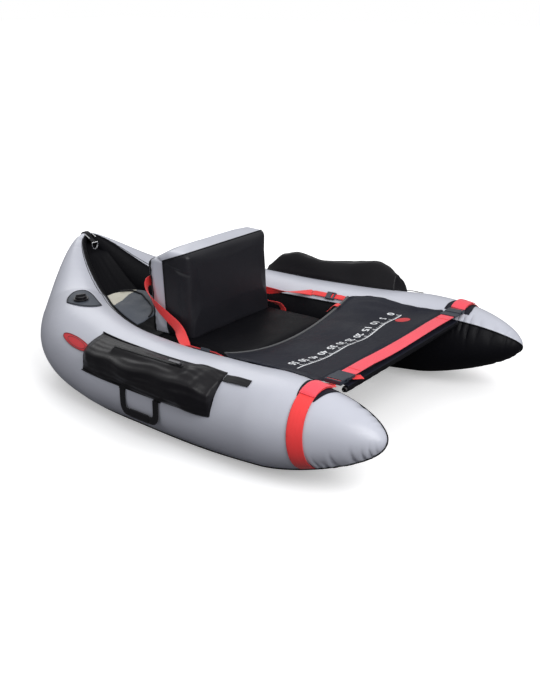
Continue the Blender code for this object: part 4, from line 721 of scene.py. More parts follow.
def makeBackrest():
    # the black front reaches back along the sides; the grey gusset covers the top
    b = backrest
    bm = roundBox((b["width"], b["depth"], b["height"] + b["extra"] + b["buried"]),
                  Vector((0, b["middle"], (b["height"] - b["buried"]) / 2)), *b["roundings"])
    for level in (b["shoulder"], b["shoulder"] + 0.03):
        cutBy(bm, (0, level, 0), (0, 1, 0))
    for vert in bm.verts:
        # the top falls away behind its shoulder
        fall = max(0.0, vert.co.y - b["shoulder"]) * b["slope"] * max(0.0, vert.co.z / b["height"])**3
        vert.co += Vector((0, b["front"] + vert.co.z * b["lean"], b["base"] - fall))
    whole = airCushion(bm, b["voxel"], b["pressure"], b["cap"])
    centre = Vector((0, b["front"] + b["middle"], b["base"] + b["height"] / 2))
    for vert in whole.verts:
        settleBackrest(vert, centre)
    way = Vector((0, 1, -b["lean"])).normalized()
    level = b["front"] - b["base"] * b["lean"]
    top = b["sideSeamTop"]
    seamTop = Vector((0, b["front"] + b["frontSeam"] + (top - b["base"]) * b["lean"], top))
    frontTop = Vector((0, b["front"] + b["topSeam"] + b["height"] * b["lean"], b["base"] + b["height"]))
    along = seamTop - frontTop
    planes = {"side": (Vector((0, level + b["frontSeam"], 0)), way),
              "top": (frontTop, Vector((0, -along.z, along.y)).normalized()),
              "rear": (Vector((0, level + b["rearSeam"], 0)), way)}
    for spot, facing in planes.values():
        cutBy(whole, spot, facing)

    def partOf(face):
        past = {name: (face.calc_center_median() - spot).dot(facing) > 0 for name, (spot, facing) in planes.items()}
        if past["rear"]:
            return "backrestRear"
        return "backrestGusset" if past["side"] or past["top"] else "backrestFront"
    for name, look, node in b["parts"]:
        part = whole.copy()
        bmesh.ops.delete(part, geom=[f for f in part.faces if partOf(f) != name], context="FACES")
        if name != "backrestGusset":
            rim = edgeLoop(part, [e for e in part.edges if e.is_boundary])
            rim = [p + Vector((p.x, 0, p.z - centre.z)).normalized() * 0.0004 for p in rim[::4]]
            bead(name + "Piping", rim, 0.0021, 10, body="backrest", endless=True)
        piece = addPiece(name, part, look, "backrest", [node])
        wall = piece.modifiers.new("wall", "SOLIDIFY")
        wall.thickness, wall.offset, wall.use_even_offset = b["wall"], -1, True
    for vert in whole.verts:
        vert.co -= vert.normal * b["bladderGap"]
        vert.co.z = max(vert.co.z, b["base"] + 0.004)
    addPiece("backrestAir", whole, "bladderFilm", "backrest", ["backrest_bladder"])
    print("stage 3: backrest")


seat = {"front": -0.186, "rear": 0.240, "width": 0.500, "low": 0.1086, "top": 0.197, "crown": 0.0045,
        "growth": (0.022, 0.020, 0.012), "roundings": (0.030, 0.034, 0.034), "voxel": 0.0065, "pressure": 3.0,
        "cap": 0.009}


def makeSeat():
    s = seat
    full = (s["width"], s["rear"] - s["front"], s["top"] - s["low"])
    size = tuple(whole - spare for whole, spare in zip(full, s["growth"]))
    middle = Vector((0, (s["front"] + s["rear"]) / 2, (s["top"] + s["low"]) / 2))
    whole = airCushion(roundBox(size, middle, *s["roundings"]), s["voxel"], s["pressure"], s["cap"])
    for vert in whole.verts:
        # crowned where it is free of the backrest, with a pulled-in line under the top's edge
        p = vert.co
        free = clamp((0.055 - p.y) / 0.12)
        edge = hump(p.z, s["top"] - 0.022, 0.005)
        p += vert.normal * (0.0012 * noise.noise(p * 10) - 0.0022 * edge)
        p.z = min(max(p.z, s["low"]), s["top"] + s["crown"] * free)
        p.y = max(p.y, s["front"] + 0.001)
    addPiece("seatCushion", whole, "nylonBlack", "hull", ["seat_cushion"])
    print("stage 4: seat cushion")


makeBackrest()
makeSeat()

# Side bags: cut from coated nylon, crumpled where they aren't full

bags = {
    "right": {"top": 70, "low": 9, "tight": 0.15,
              "profile": (0.0, 0.26, 0.58, 0.92, 1.16, 0.98, 0.76, 0.56, 0.38, 0.20, 0.0),
              "run": (0.42, 0.86, 1.02, 1.06, 1.02, 0.96, 0.90, 0.86, 0.80, 0.74, 0.30)},
    "left": {"top": 82, "low": 9, "tight": 0.6,
             "profile": (0.0, 0.22, 0.40, 0.60, 0.74, 0.86, 0.98, 1.08, 1.22, 1.14, 0.0),
             "run": (0.84, 1.10, 1.22, 1.18, 1.12, 1.08, 1.08, 1.12, 1.14, 1.00, 0.30)},
    "front": -0.300, "rear": 0.230, "swell": 0.058, "edge": 0.004, "rows": 84, "columns": 34, "growth": -0.02,
    "pressure": 1.2, "cap": 0.006, "teeth": 112, "toothPitch": 0.0025, "tooth": (0.0015, 0.0032, 0.0019, 1),
    "tabLong": 0.090, "tabWidth": 0.024, "tabDown": 9.5,
}


def between(shares, t):
    place = clamp(t) * (len(shares) - 1)
    i = min(int(place), len(shares) - 2)
    t = place - i
    return shares[i] + (shares[i + 1] - shares[i]) * t * t * (3 - 2 * t)


def boxFrame(node):
    # middle, long axis, width axis and outward normal of a CAD box, with its half sizes
    corners = []
    for vert in frame["nodes"][node].data.vertices:
        if all((vert.co - c).length > 1e-5 for c in corners):
            corners.append(vert.co.copy())
    ways = sorted((c - corners[0] for c in corners[1:]), key=lambda w: w.length)
    thin, wide = ways[0], ways[1]
    long = next(w for w in ways if w.length > 2 * wide.length)
    middle = sum(corners, Vector()) / len(corners)
    normal = thin.normalized()
    if normal.dot(middle - Vector((0.40 if middle.x > 0 else -0.40, middle.y, 0.13))) < 0:
        normal = -normal
    return middle, long.normalized(), wide.normalized(), normal, long.length / 2, wide.length / 2, thin.length / 2


def keyOf(point):
    return tuple(round(c, 5) for c in point)


def makeBag(word, side):
    shape = bags[word]
    low, high = shape["low"], shape["top"]
    first, last = distanceAt(bags["front"]), distanceAt(bags["rear"])
    table, sewn = [], set()
    for d in steps(first, last, bags["rows"]):
        t = (d - first) / (last - first)
        sway = 1.6 * sin(9 * t) + 1.1 * sin(21 * t + side)
        row = []
        for a in steps(low, high, bags["columns"]):
            u = (a - low) / (high - low)
            fold = 0.05 * sin(11 * t + 5 * u + side) + 0.03 * sin(19 * t - 9 * u)
            fold += 0.09 * hump(u, 0.24 + 0.06 * sin(5 * t), 0.035) * sin(pi * clamp(t * 1.4 - 0.3))
            swell = between(shape["profile"], u) * between(shape["run"], t) * (1 + fold) * bags["swell"]
            rise = min(1.0, 12 * u, 12 * (1 - u), 16 * t + 0.3, 16 * (1 - t) + 0.3)
            row.append(onSkin(d, a + sway * sin(pi * u), 0.0008 + bags["edge"] * rise + swell, side))
        under = [onSkin(d, a, 0.0006, side) for a in steps(high, low, 10)[1:-1]]
        sewn.update(keyOf(p) for p in under + [row[0], row[-1]])
        table.append(row + under)
    work = addObject(word + "BagWork", meshFrom(word + "BagWork", solid(table)))
    pins = [v.index for v in work.data.vertices if keyOf(v.co) in sewn]
    before = [v.co.copy() for v in work.data.vertices]
    held = set(pins)
    blow(work, bags["pressure"], bags["cap"], frames=16, shrink=bags["growth"], pins=pins, stiff=20, even=24)
    # flat under the zip
    middle, long, wide, normal, halfLong, halfWide, halfThin = boxFrame(word + "_bag_zip")
    for vert, was in zip(work.data.vertices, before):
        if vert.index in held:
            vert.co = was
            continue
        rel = vert.co - middle
        along, across, level = abs(rel.dot(long)), abs(rel.dot(wide)), rel.dot(normal)
        near = max(0.0, 1 - max(0.0, along - halfLong - 0.001) / 0.012)
        near *= max(0.0, 1 - max(0.0, across - halfWide - 0.001) / 0.014)
        if level > -0.03:
            vert.co += normal * ((-halfThin - 0.0004) - level) * near * near * (3 - 2 * near)
    made = finer(work)
    for vert in made.verts:
        rel = vert.co - middle
        away = max(abs(rel.dot(long)) - halfLong, abs(rel.dot(wide)) - halfWide)
        ridge = abs(noise.noise(Vector((vert.co.x * 15 + side * 5, vert.co.y * 10, vert.co.z * 15))))
        tight = shape["tight"] + 0.85 * clamp((-0.12 - vert.co.y) / 0.10)
        crumple = (0.0050 * (0.25 - ridge) + 0.0004 * noise.noise(vert.co * 60)) * tight
        if keyOf(vert.co) not in sewn and vert.normal.dot(Vector((side, 0, 0.6))) > 0:
            vert.co += vert.normal * crumple * clamp(away / 0.012)
    addPiece(word + "Bag", made, "bagBlack", "hull", [word + "_bag"], crease=50)
    # zip: two tapes, teeth between them
    tape = bmesh.new()
    for hand in (-1, 1):
        rows = [middle + long * x + wide * (hand * halfWide * 0.52) for x in steps(-halfLong, halfLong, 40)]
        joinInto(tape, solid(strapTable(rows, [normal] * len(rows), halfWide * 0.92, 0.0010)))
    addPiece(word + "ZipTape", tape, "pipingBlack", "hull", [word + "_bag_zip"])
    teeth = bmesh.new()
    turn = Matrix((long, wide, normal)).transposed().to_4x4()
    for i in range(bags["teeth"]):
        x = -halfLong + 0.002 + i * bags["toothPitch"]
        spot = Matrix.Translation(middle + long * x + wide * (0.0006 if i % 2 else -0.0006)) @ turn
        bmesh.ops.create_cube(teeth, size=1, matrix=spot @ Matrix.Diagonal(bags["tooth"]))
    addPiece(word + "ZipTeeth", teeth, "valvePlastic", crease=20)
    # cord piping along the low and top edges, and the webbing tab ahead of the bag
    for name, u in (("LowEdge", 0.03), ("TopEdge", 0.97)):
        a = low + (high - low) * u
        line = [onSkin(d, a, 0.0022, side) for d in steps(first + 0.004, last - 0.004, 90)]
        bead(word + "Bag" + name, line, 0.0020, 8)
    long, angle = bags["tabLong"], high - bags["tabDown"]
    places = steps(first - long, first - 0.0008, 30)
    line = [onSkin(d, angle, 0.0018 + 0.003 * sin(pi * (d - places[0]) / long)**2, side) for d in places]
    strap(word + "BagTab", line, [tubeNormal(d, angle, side) for d in places], bags["tabWidth"], "webbingBlack",
          "hull", [word + "_bag_tab"])


handle = {"along": -0.020, "long": 0.160, "drop": 0.076, "web": 0.022, "thick": 0.003, "grip": 0.075,
          "anchorWide": 0.028, "anchorAngles": (8, 16)}


def makeHandle(word, side):
    h = handle
    d, half = distanceAt(h["along"]), h["long"] / 2
    ahead = tubePoint(d + half, 0, 0, side) - tubePoint(d - half, 0, 0, side)
    spot = tubePoint(d, 0, 0.0015 + h["thick"] / 2, side)
    spot.z = min(tubePoint(place, 9, 0.0005, side).z for place in (d - half, d, d + half))
    placeOf = Matrix.Translation(spot) @ Matrix.Rotation(atan2(-ahead.x, ahead.y), 4, "Z")
    reach, low = half - h["web"] / 2, -h["drop"] + h["web"] / 2
    path = [(-reach, 0), (-reach, low * 0.45), (-reach + 0.002, low * 0.8), (-reach + 0.014, low), (-0.02, low)]
    path += [(-y, z) for y, z in reversed(path)]
    points = [placeOf @ p for p in smoothLine([(0, y, z) for y, z in path], 70)]
    out = (placeOf.to_3x3() @ Vector((1, 0, 0))).normalized()
    strap(word + "CarryHandle", points, [out] * len(points), h["web"], "webbingBlack", word + "_handle",
          [word + "_carry_handle"], h["thick"])
    # moulded grip sleeve round the middle
    grip = [placeOf @ Vector((0, y, low)) for y in steps(-h["grip"] / 2, h["grip"] / 2, 24)]
    strap(word + "HandleGrip", grip, [out] * len(grip), h["web"] + 0.003, "valvePlastic", word + "_handle",
          thick=h["thick"] + 0.0024)
    # where its ends are sewn to the boat
    angles = steps(*h["anchorAngles"], 8)
    for place, end in ((d - reach, "Front"), (d + reach, "Rear")):
        strap(word + "HandleAnchor" + end, [onSkin(place, a, 0.0022, side) for a in angles],
              [tubeNormal(place, a, side) for a in angles], h["anchorWide"], "webbingBlack", thick=0.0022)


for word, side in sides.items():
    makeBag(word, side)
    makeHandle(word, side)
print("stage 5: bags and handles")

# Red webbing

webbing = {"wide": 0.045, "side": 0.032, "tube": 0.0192, "base": 0.0247, "crossAlong": -0.554,
           "crossHeight": 0.2645, "crossEnd": 0.2974, "crossSag": 0.004, "crossFree": 0.190, "slot": 0.362,
           "facet": 125}


def turned(ways, count):
    # facings shared out evenly along a strap
    ways, made = [Vector(w).normalized() for w in ways], []
    for t in steps(0, len(ways) - 1, count):
        i = min(int(t), len(ways) - 2)
        made.append(ways[i].lerp(ways[i + 1], t - i).normalized())
    return made


def flipped(points, side):
    return [Vector((p[0] * side, p[1], p[2])) for p in points]


def makeRingStrap(word, side):
    w = webbing
    slot, along, low = w["slot"], w["crossAlong"], w["crossHeight"] - 0.0085
    middle = distanceAt(along)
    angles = steps(-56, 116, 80)
    points = [onSkin(middle, a, 0.0036, side) for a in angles]
    points += flipped([(slot + 0.0065, along, low - 0.001), (slot + 0.0016, along, low + 0.004),
                       (slot + 0.0004, along, w["crossHeight"] + 0.0055)], side)
    facing = [tubeNormal(middle, a, side) for a in angles] + flipped([(-0.3, 0, 1), (-1, 0, 0.4), (-1, 0, 0)], side)
    strap(word + "RingStrap", points, facing, w["wide"], "webbingRed", "hull", [word + "_ring_strap"])
    # the doubled end that comes back out of the buckle, with its sewn bar
    angles = steps(67, 112, 30)
    strap(word + "RingStrapTail",
          [onSkin(middle, a, 0.0064 + 0.002 * sin(pi * (a - 67) / 45), side) for a in angles],
          [tubeNormal(middle, a, side) for a in angles], w["wide"] + 0.001, "webbingRose")
    for a in (69, 71.5):
        across = [onSkin(middle + x, a, 0.0078, side) for x in steps(-0.020, 0.020, 16)]
        stitch("%sRingStitch%d" % (word, a), across, "webbingRed")


def makeCrossStrap():
    w = webbing
    along, height = w["crossAlong"], w["crossHeight"]
    places = steps(-w["crossEnd"], w["crossEnd"], 90)
    # sag and sway die out before the buckles' plugs
    free = [max(0.0, 1 - (x / w["crossFree"])**2) for x in places]
    points = [Vector((x, along + 0.0012 * sin(9 * x) * k, height - w["crossSag"] * k)) for x, k in zip(places, free)]
    facing = [Vector((0, 0.05 * sin(7 * x) * k, 1)) for x, k in zip(places, free)]
    strap("crossStrap", points, facing, w["wide"], "webbingRose", "hull", ["cross_strap"])
    for word, side in sides.items():
        for x in (0.262, 0.259):
            line = [Vector((x * side, along + y, height + 0.0012)) for y in steps(-0.02, 0.02, 10)]
            stitch("%sCrossStitch%d" % (word, x * 1000), line, "webbingRed")
    # the short loose tail under the right buckle
    line = smoothLine(flipped([(0.303, -0.566, 0.2575), (0.292, -0.573, 0.2555), (0.278, -0.580, 0.2545),
                               (0.268, -0.584, 0.2525)], -1), 24)
    strap("rightCrossTail", line, turned([(0, 0, 1), (0.1, -0.2, 1), (0, -0.3, 1)], 24), 0.020, "webbingRed",
          "right_plug")


sideStraps = {
    "path": [(0.1566, 0.2467, 0.3619), (0.1800, 0.2490, 0.3580), (0.2060, 0.2520, 0.3530), (0.2210, 0.2390, 0.3310),
             (0.2200, 0.2040, 0.2910), (0.2194, 0.1560, 0.2590), (0.2420, 0.0954, 0.2425)],
    "facings": [(0.1, 1, 0), (0.25, 1, 0), (0.7, 0.8, 0), (1, 0.3, 0), (1, 0.1, 0.1), (1, 0, 0.4), (0.4, 0, 0.9),
                (0, 0, 1)],
    "base": [(0.2060, 0.1480, 0.2660), (0.2072, 0.1320, 0.2420), (0.2200, 0.0980, 0.2140), (0.2520, 0.0600, 0.1960),
             (0.2555, 0.0400, 0.1600)],
    "baseFacings": [(1, 0, 0), (1, 0, 0.2), (0.6, 0, 0.8), (0.8, 0, 0.6), (1, 0, 0.2)],
    "end": -0.010, "tubeStart": -0.156, "adjuster": (-0.132, -0.0272), "adjusterLift": 0.0036,
}


def makeSideStraps(word, side):
    w, s = webbing, sideStraps
    angle, end = w["facet"], distanceAt(s["end"])
    points = flipped(s["path"], side) + [onSkin(d, angle, 0.0022, side) for d in (end + 0.004, end - 0.008)]
    points = smoothLine(points, 90)
    facing = turned(flipped(s["facings"], side) + [tubeNormal(end, angle, side)], 90)
    piece = strap(word + "SideStrap", points, facing, w["side"], "webbingRed", None, [word + "_side_strap"])
    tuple(points[-12])
    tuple(points[22])
    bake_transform(piece)
    points = smoothLine(flipped(s["base"], side), 40)
    piece = strap(word + "BaseStrap", points, turned(flipped(s["baseFacings"], side), 40), w["base"], "webbingRed",
                  None, [word + "_base_strap"])
    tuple(points[30])
    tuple(points[4])
    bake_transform(piece)
    # the strap along the tube rises to pass through its adjuster
    first, last = distanceAt(s["tubeStart"]), end - 0.003
    flat = [distanceAt(y) for y in s["adjuster"]]
    points, places = [], steps(last, first, 60)
    for d in places:
        ramp = min(1.0, max(0.0, (last - d) / (last - flat[1])), max(0.0, (d - first) / (flat[0] - first)))
        points.append(onSkin(d, angle, 0.0020 + s["adjusterLift"] * ramp, side))
    strap(word + "TubeStrap", points, [tubeNormal(d, angle, side) for d in places], w["tube"], "webbingRed", "hull",
          [word + "_tube_strap"])
    for d in (first + 0.004, first + 0.014, last - 0.004):
        across = [onSkin(d, angle + x, 0.0038, side) for x in steps(-3.4, 3.4, 10)]
        stitch("%sTubeStitch%d" % (word, d * 1000), across)


for word, side in sides.items():
    makeRingStrap(word, side)
    makeSideStraps(word, side)
makeCrossStrap()
print("stage 6: red webbing")

# Apron, its printed ruler, hem and rear binding

apron = {"front": -0.578, "rear": -0.172, "corner": -0.524, "sag": 0.052, "fold": 0.006, "thick": 0.0016,
         "frontHalf": 0.328, "rows": 96, "columns": 120, "hemRadius": 0.0094, "hemHollow": 0.008,
         "hemStitches": (-0.5615, -0.5580), "bindingWide": 0.0092, "bindingThick": 0.0042}
apronStart, apronEnd = distanceAt(apron["front"]), distanceAt(apron["rear"])


def apronEdge(d):
    t = (d - apronStart) / (apronEnd - apronStart)
    inward = 9 * max(0.0, sin(pi * clamp((t - 0.08) / 0.60))) - 4 * hump(t, 0.82, 0.12)
    edge = tubePoint(d, 117.27 + inward, 0.0005, 1)
    y = centreAt(d)[0].y
    corner = max(0.0, (t - 0.90) / 0.10)
    edge.x -= 0.020 * (1 - sqrt(max(0.0, 1 - corner * corner)))
    drawn = clamp((apron["corner"] + 0.022 - y) / 0.030)
    return Vector((edge.x + (apron["frontHalf"] - edge.x) * drawn, y, edge.z - 0.009 * drawn))


def apronPoint(t, u):
    # t from the front hem to the rear edge, u from -1 to 1 across
    edge = apronEdge(apronStart + (apronEnd - apronStart) * t)
    level = clamp((t - 0.13) / 0.87)
    inside = 1 - abs(u)
    drop = apron["sag"] * level + apron["fold"] * sin(3 * pi * u) * sin(pi * level)
    fine = 0.0022 * noise.noise(Vector((u * 2.6, t * 2.2, 3.1))) + 0.0008 * noise.noise(Vector((u * 9, t * 6, 8.4)))
    gather = 0.0008 * sin(46 * t) * hump(inside, 0, 0.05)
    roll = 0.011 * hump(inside, 0.045, 0.032) * sin(pi * clamp((t - 0.16) / 0.80))**0.6
    raised = 0.060 * hump(u, 0.90, 0.055) * max(0.0, sin(pi * clamp((t - 0.35) / 0.65)))
    free = min(1.0, 14 * t, 14 * (1 - t)) * (1 - u * u)
    z = edge.z + 0.0015 - drop * (1 - u * u) + (fine * 2.2 + raised) * free + gather * min(1.0, 8 * t)
    return Vector((edge.x * u, edge.y, z + roll * (1.0 if u > 0 else 0.5)))


def apronAt(x, y, lift=0.0003):
    # the point of the apron's upper face over x and y
    t = (distanceAt(y) - apronStart) / (apronEnd - apronStart)
    u = x / apronEdge(apronStart + (apronEnd - apronStart) * t).x
    return Vector((x, y, apronPoint(t, u).z + apron["thick"] / 2 + lift))


def makeApron():
    rows, columns = apron["rows"], apron["columns"]
    table = [[apronPoint(t, u) for u in steps(-1, 1, columns)] for t in steps(0, 1, rows)]
    sheet = addPiece("apronSheet", loft(table), "apronNavy", "hull", ["apron"], thick=apron["thick"])
    length = sum(runLength([row[j] for row in table]) for j in range(0, columns + 1, 20)) / 7
    width = sum(runLength(table[i]) for i in range(0, rows + 1, 16)) / 7
    # rear binding folded round the edge
    line = [apronPoint(1, u) + Vector((0, 0.0052, 0)) for u in steps(-1, 1, 120)]
    bm = solid(strapTable(line, [Vector((0, 0, 1))] * len(line), apron["bindingWide"], apron["bindingThick"]))
    addPiece("apronBinding", bm, "hemGrey", "hull", ["apron_binding"])
    # black hem over the spreader bar, with its row of stitches
    edge = apronEdge(distanceAt(apron["front"] + 0.0095))
    middle = Vector((0, edge.y, edge.z - 0.0101))
    half = apron["frontHalf"]

    def ring(x, r):
        return [middle + Vector((x, cos(2 * pi * k / 28) * r, sin(2 * pi * k / 28) * r)) for k in range(28)]
    hem = [ring(x, apron["hemRadius"] + 0.0004 * sin(x * 140)) for x in steps(-half, half, 90)]
    bm = loft(hem + [ring(x, apron["hemHollow"]) for x in steps(half, -half, 6)] + hem[:1], closed=True)
    addPiece("apronHem", bm, "nylonBlack", "hull", ["apron_hem"])
    for y in apron["hemStitches"]:
        stitch("hemStitch%d" % (-y * 10000), [apronAt(x, y) for x in steps(-0.30, 0.30, 120)], radius=0.0006)


ruler = {"y": -0.402, "zero": 0.275, "step": 0.010, "count": 56, "line": 0.0042, "short": 0.009, "long": 0.017,
         "shortWide": 0.0020, "longWide": 0.0030, "numeral": 0.025, "numeralY": -0.366, "numeralBold": 0.0007,
         "spot": (0.232, -0.432), "spotSize": 0.026}


def printStrip(x0, y0, x1, y1, width):
    # a thin printed bar laid on the apron
    a, b = Vector((x0, y0, 0)), Vector((x1, y1, 0))
    side = (b - a).normalized().cross(Vector((0, 0, 1))) * width / 2
    bm = loft([[apronAt(*(a.lerp(b, t) + side * k).xy) for k in (-1, 0, 1)]
               for t in steps(0, 1, max(2, int((b - a).length / 0.006)))])
    if sum(f.normal.z for f in bm.faces) < 0:
        bmesh.ops.reverse_faces(bm, faces=bm.faces)
    return bm


def makeRuler():
    r = ruler
    marks = printStrip(r["zero"] + 0.004, r["y"], r["zero"] - 0.585, r["y"], r["line"])
    numerals = bmesh.new()
    for i in range(r["count"]):
        x = r["zero"] - r["step"] * i
        reach, wide = (r["short"], r["shortWide"]) if i % 5 else (r["long"], r["longWide"])
        joinInto(marks, printStrip(x, r["y"], x, r["y"] + reach, wide))
        if i % 5:
            continue
        text = bpy.data.curves.new("numeral", "FONT")
        text.body, text.size, text.align_x, text.offset = str(i), r["numeral"] * 1.35, "CENTER", r["numeralBold"]
        holder = addObject("numeral", text)
        flat = bpy.data.meshes.new_from_object(holder.evaluated_get(bpy.context.evaluated_depsgraph_get()))
        bpy.data.objects.remove(holder)
        for vert in flat.vertices:
            vert.co = apronAt(x - vert.co.x, r["numeralY"] + r["numeral"] / 2 - vert.co.y)
        numerals.from_mesh(flat)
        bpy.data.meshes.remove(flat)
    addPiece("rulerMarks", marks, "printWhite")
    bmesh.ops.recalc_face_normals(numerals, faces=numerals.faces)
    for face in numerals.faces:
        if face.normal.z < 0:
            face.normal_flip()
    addPiece("rulerNumerals", numerals, "printWhite")
    spot = bmesh.new()
    bmesh.ops.create_circle(spot, cap_ends=True, segments=40, radius=r["spotSize"])
    bmesh.ops.poke(spot, faces=spot.faces)
    bmesh.ops.subdivide_edges(spot, edges=spot.edges, cuts=2, use_grid_fill=True)
    for vert in spot.verts:
        vert.co = apronAt(vert.co.x + r["spot"][0], vert.co.y * 0.9 + r["spot"][1])
    addPiece("rulerSpot", spot, "badgeRed")


def makePullTab():
    start = apronPoint(1, 0.284 / 0.3519) + Vector((0, 0.001, 0.0046))
    line = smoothLine([start + Vector((0, y, z)) for y, z in ((0, 0), (0.0144, 0), (0.0294, -0.013),
                                                              (0.042, -0.026))], 24)
    facing = turned([(-0.1, 0, 1), (-0.1, 0.3, 1), (-0.1, 1, 1), (-0.1, 1, 0.6)], 24)
    strap("pullTab", line, facing, 0.022, "webbingRed", "hull", ["pull_tab"])


makeApron()
makeRuler()
makePullTab()
print("stage 7: apron and ruler")

# Sling, cargo floor, flap and stern

sheets = {
    "thick": 0.0018, "slingLevel": 0.1063, "slingEnds": (-0.186, 0.250), "floorEnds": (0.290, 0.715),
    "floorSag": 0.022, "seam": 189,
    # y, z and half width of the floor where it climbs to the stern
    "climb": [(0.700, 0.3350, 0.043), (0.714, 0.3405, 0.038), (0.727, 0.3500, 0.030), (0.736, 0.3620, 0.022),
              (0.744, 0.3780, 0.013)],
}


def makeSheets():
    s = sheets
    table = [[Vector((tubePoint(d, s["seam"], 0.0005, 1).x * u, centreAt(d)[0].y, s["slingLevel"]))
              for u in steps(-1, 1, 30)] for d in steps(*[distanceAt(y) for y in s["slingEnds"]], 30)]
    piece = addPiece("seatSling", loft(table), "nylonBlack", "hull", ["seat_sling"], thick=s["thick"])
    round(runLength(table[15]), 3)
    round(runLength([row[15] for row in table]), 3)
    table = []
    for d in steps(*[distanceAt(y) for y in s["floorEnds"]], 70):
        edge = tubePoint(d, s["seam"], 0.0005, 1)
        row = []
        for u in steps(-1, 1, 50):
            soft = 0.004 * noise.noise(Vector((u * 3, d * 9, 1))) - s["floorSag"]
            row.append(Vector((edge.x * u, edge.y, edge.z + 0.0015 + soft * (1 - u * u))))
        table.append(row)
    for y, z, half in s["climb"]:
        table.append([Vector((half * u, y, z - 0.004 * (1 - u * u))) for u in steps(-1, 1, 50)])
    piece = addPiece("cargoFloor", loft(table), "nylonBlack", "hull", ["cargo_floor"], thick=s["thick"])
    wide = sum(runLength(row) for row in table) / len(table)
    round(runLength([row[25] for row in table]), 3)


# the last entry is the share along the flap past which its cloth is painted pale, a painted highlight
flap = {"front": 0.268, "rear": 0.560, "width": 0.125, "rise": 0.022, "bound": 0.784, "thick": 0.0020,
        "lining": 0.62}


def flapPoint(share, reach):
    first, last = distanceAt(flap["front"]), distanceAt(flap["rear"])
    d = first + (last - first) * share
    seam = tubePoint(d, 135, 0.0071, 1) - ringAt(d)[2] * reach
    rise = flap["rise"] * sin(pi / 2 * min(reach / flap["width"], 1))
    soft = 0.0045 * noise.noise(Vector((share * 6, reach * 30, 2))) * min(1, reach / 0.03)
    return Vector((-seam.x, seam.y, seam.z + rise + 0.0015 + soft))


def flapReach(share):
    return flap["width"] * (1 - 0.55 * abs(2 * share - 1)**4)


def makeFlap():
    table = [[flapPoint(s, flapReach(s) * k) for k in steps(0, 1, 30)] for s in steps(0, 1, 60)]
    bm = loft(table)
    # the rear part of the flap gets the pale finish, a painted highlight whose edge is broken by noise
    for face in bm.faces:
        centre = face.calc_center_median()
        share = (centre.y - table[0][0].y) / (table[-1][0].y - table[0][0].y)
        face.material_index = 1 if share + 0.12 * noise.noise(centre * 14) > flap["lining"] else 0
    piece = addPiece("cargoFlap", bm, ["slateCloth", "beigeLining"], "hull", ["cargo_flap"], thick=flap["thick"])
    long = runLength([row[15] for row in table])
    line = [flapPoint(s, flapReach(s) * flap["bound"]) + Vector((0, 0, 0.0040)) for s in steps(0, 1, 70)]
    bead("flapBinding", line, 0.0029, 10, nodes=["flap_binding"])


def makeStern():
    peak = centreAt(pathLength)[0]
    facing = [Vector((0, cos(radians(turn)), sin(radians(turn)))) for turn in steps(-40, 172, 40)]
    points = [peak + out * 0.0178 for out in facing]
    start, end = peak + Vector((0, -0.0180, -0.002)), peak + Vector((0, -0.040, -0.014))
    for t in steps(0, 1, 10)[1:]:
        points.append(start.lerp(end, t))
        facing.append(Vector((0, -0.4, 1)))
    strap("sternTab", points, facing, 0.020, "webbingBlack", "hull", ["stern_tab"])
    for x, name in ((-0.0155, "sternKeeperRight"), (0.0155, "sternKeeperLeft")):
        line = [Vector((x, peak.y - 0.012 - 0.022 * t, peak.z + 0.012 - 0.012 * t)) for t in steps(0, 1, 8)]
        bead(name, line, 0.0022, 10, "ringSteel")


makeSheets()
makeFlap()
makeStern()
print("stage 8: sheets, flap and stern tab")

# Patches on the pontoons: where along, angle, length, width, domed, finish, trim

patches = {
    "ValvePatch": (0.450, 88, 0.135, 0.098, True, "slateCloth", "pipingBlack", "_valve_patch"),
    "Badge": (0.288, 38, 0.140, 0.034, False, "badgeRed", "badgeDark", "_badge"),
}
corner = {"angles": (62, 117), "half": 0.0235, "wider": 0.0165, "valveHole": 0.0175, "innerRing": 0.66}


def patchOutline(along, angle, long, wide, domed, side, scale=1.0):
    # an oval, or a dome toward the stern cut straight across the tube at its bow end
    place = distanceAt(along)
    radius = centreAt(place)[1]

    def at(share, across, lift):
        # share from -1 at one end of its length to 1 at the other
        if domed:
            back = (1 - share) / 2
            offset = long * (back - (1 - back) * (0.23 * across + 0.32 * (1 - across**2)) - 0.14)
            turn = (0.003 + 0.016 * back + wide / 2 * across * max(1 - back**2, 0.0)**0.5) / radius * 180 / pi
            return onSkin(place + offset, angle + turn, lift, side)
        turn = wide * scale / 2 / radius * 180 / pi * max(1 - share**2, 0.0)**0.5 * across
        return onSkin(place - share * long * scale / 2, angle + turn, lift, side)
    return at


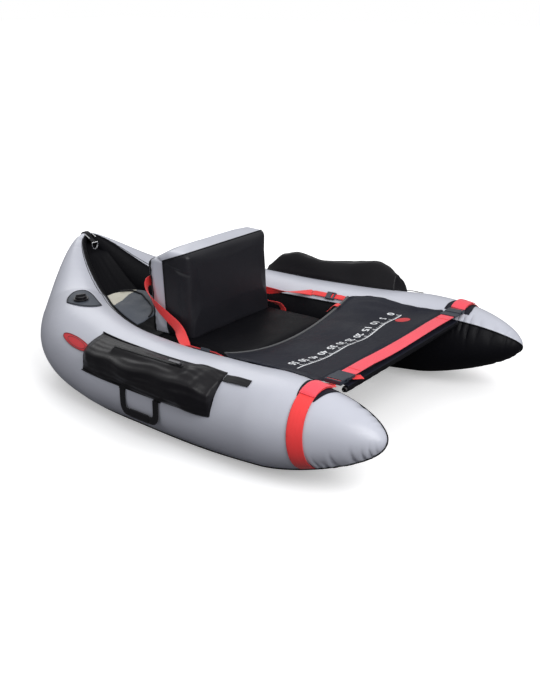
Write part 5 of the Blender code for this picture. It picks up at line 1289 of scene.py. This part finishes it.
def makePatch(word, side, name):
    *values, domed, look, trim, node = patches[name]
    at = patchOutline(*values, domed, side)
    ends = [sin(pi / 2 * s) for s in steps(-1, 1, 48)]
    table = [[at(s, k, 0.0024 - 0.0012 * abs(k)**8) for k in steps(-1, 1, 24)]
             + [at(s, k, 0.0004) for k in steps(1, -1, 8)] for s in ends]
    bm = loft(table, closed=True, caps=domed)
    bmesh.ops.remove_doubles(bm, verts=bm.verts, dist=0.00005)
    if domed:
        spot = onSkin(distanceAt(values[0]), values[1], 0.0, side)
        inside = [f for f in bm.faces if (f.calc_center_median() - spot).length < corner["valveHole"]]
        bmesh.ops.delete(bm, geom=inside, context="FACES")
    addPiece(word + name, bm, look, "hull", [word + node])
    straight = [at(0.93, k, 0.0026) for k in steps(0.8, -0.8, 12)] if domed else []
    rim = [at(s, 0.93, 0.0026) for s in ends[1:-4 if domed else -1]] + straight
    rim += [at(s, -0.93, 0.0026) for s in ends[-5 if domed else -2:0:-1]]
    bead(word + name + "Rim", rim, 0.0011, 8, trim, endless=True)
    if name == "Badge":
        inner = patchOutline(*values, domed, side, corner["innerRing"])
        rim = [inner(s, 1, 0.0026) for s in ends[1:-1]] + [inner(s, -1, 0.0026) for s in ends[-2:0:-1]]
        bead(word + name + "Ring", rim, 0.0008, 8, trim, endless=True)


def makeCorner(word, side):
    middle = distanceAt(webbing["crossAlong"])
    low, high = corner["angles"]

    def spot(k, a, lift):
        half = corner["half"] + corner["wider"] * clamp((a - low) / 40)**0.8
        return onSkin(middle + k * half, a, lift, side)
    table = [[spot(k, a, 0.0019) for a in steps(low, high, 24)] + [spot(k, a, 0.0004) for a in steps(high, low, 8)]
             for k in steps(-1, 1, 30)]
    addPiece(word + "ApronCorner", solid(table), "apronNavy", "hull", [word + "_apron_corner"])
    for gap, name in ((-0.93, "Front"), (0.93, "Rear")):
        stitch(word + "CornerStitch" + name, [spot(gap, a, 0.0021) for a in steps(low + 1, high - 1, 30)])


for word, side in sides.items():
    for name in patches:
        makePatch(word, side, name)
    makeCorner(word, side)
print("stage 9: patches and corners")

# Moulded and metal parts keep their CAD shape: finish and rounding of the edges

hardware = {"valve_body": ("valvePlastic", 0.0006), "valve_cap": ("valvePlastic", 0.0006),
            "buckle_socket": ("slatePlastic", 0.0005), "buckle_plug": ("slatePlastic", 0.0008),
            "strap_adjuster": ("slatePlastic", 0.0005), "zip_slider": ("pullMetal", 0.0004),
            "spreader_bar": ("barMetal", 0.0), "stern_loop": ("ringSteel", 0.0)}

for node, piece in frame["nodes"].items():
    kind = node.replace("left_", "").replace("right_", "")
    if kind not in hardware:
        continue
    look, edge = hardware[kind]
    piece.data.materials.clear()
    piece.data.materials.append(finish(look))
    if edge:
        piece.modifiers.new("weld", "WELD").merge_threshold = 0.00001
        bevel = piece.modifiers.new("edges", "BEVEL")
        bevel.width, bevel.segments, bevel.limit_method, bevel.angle_limit = edge, 2, "ANGLE", radians(40)
print("stage 10: hardware")
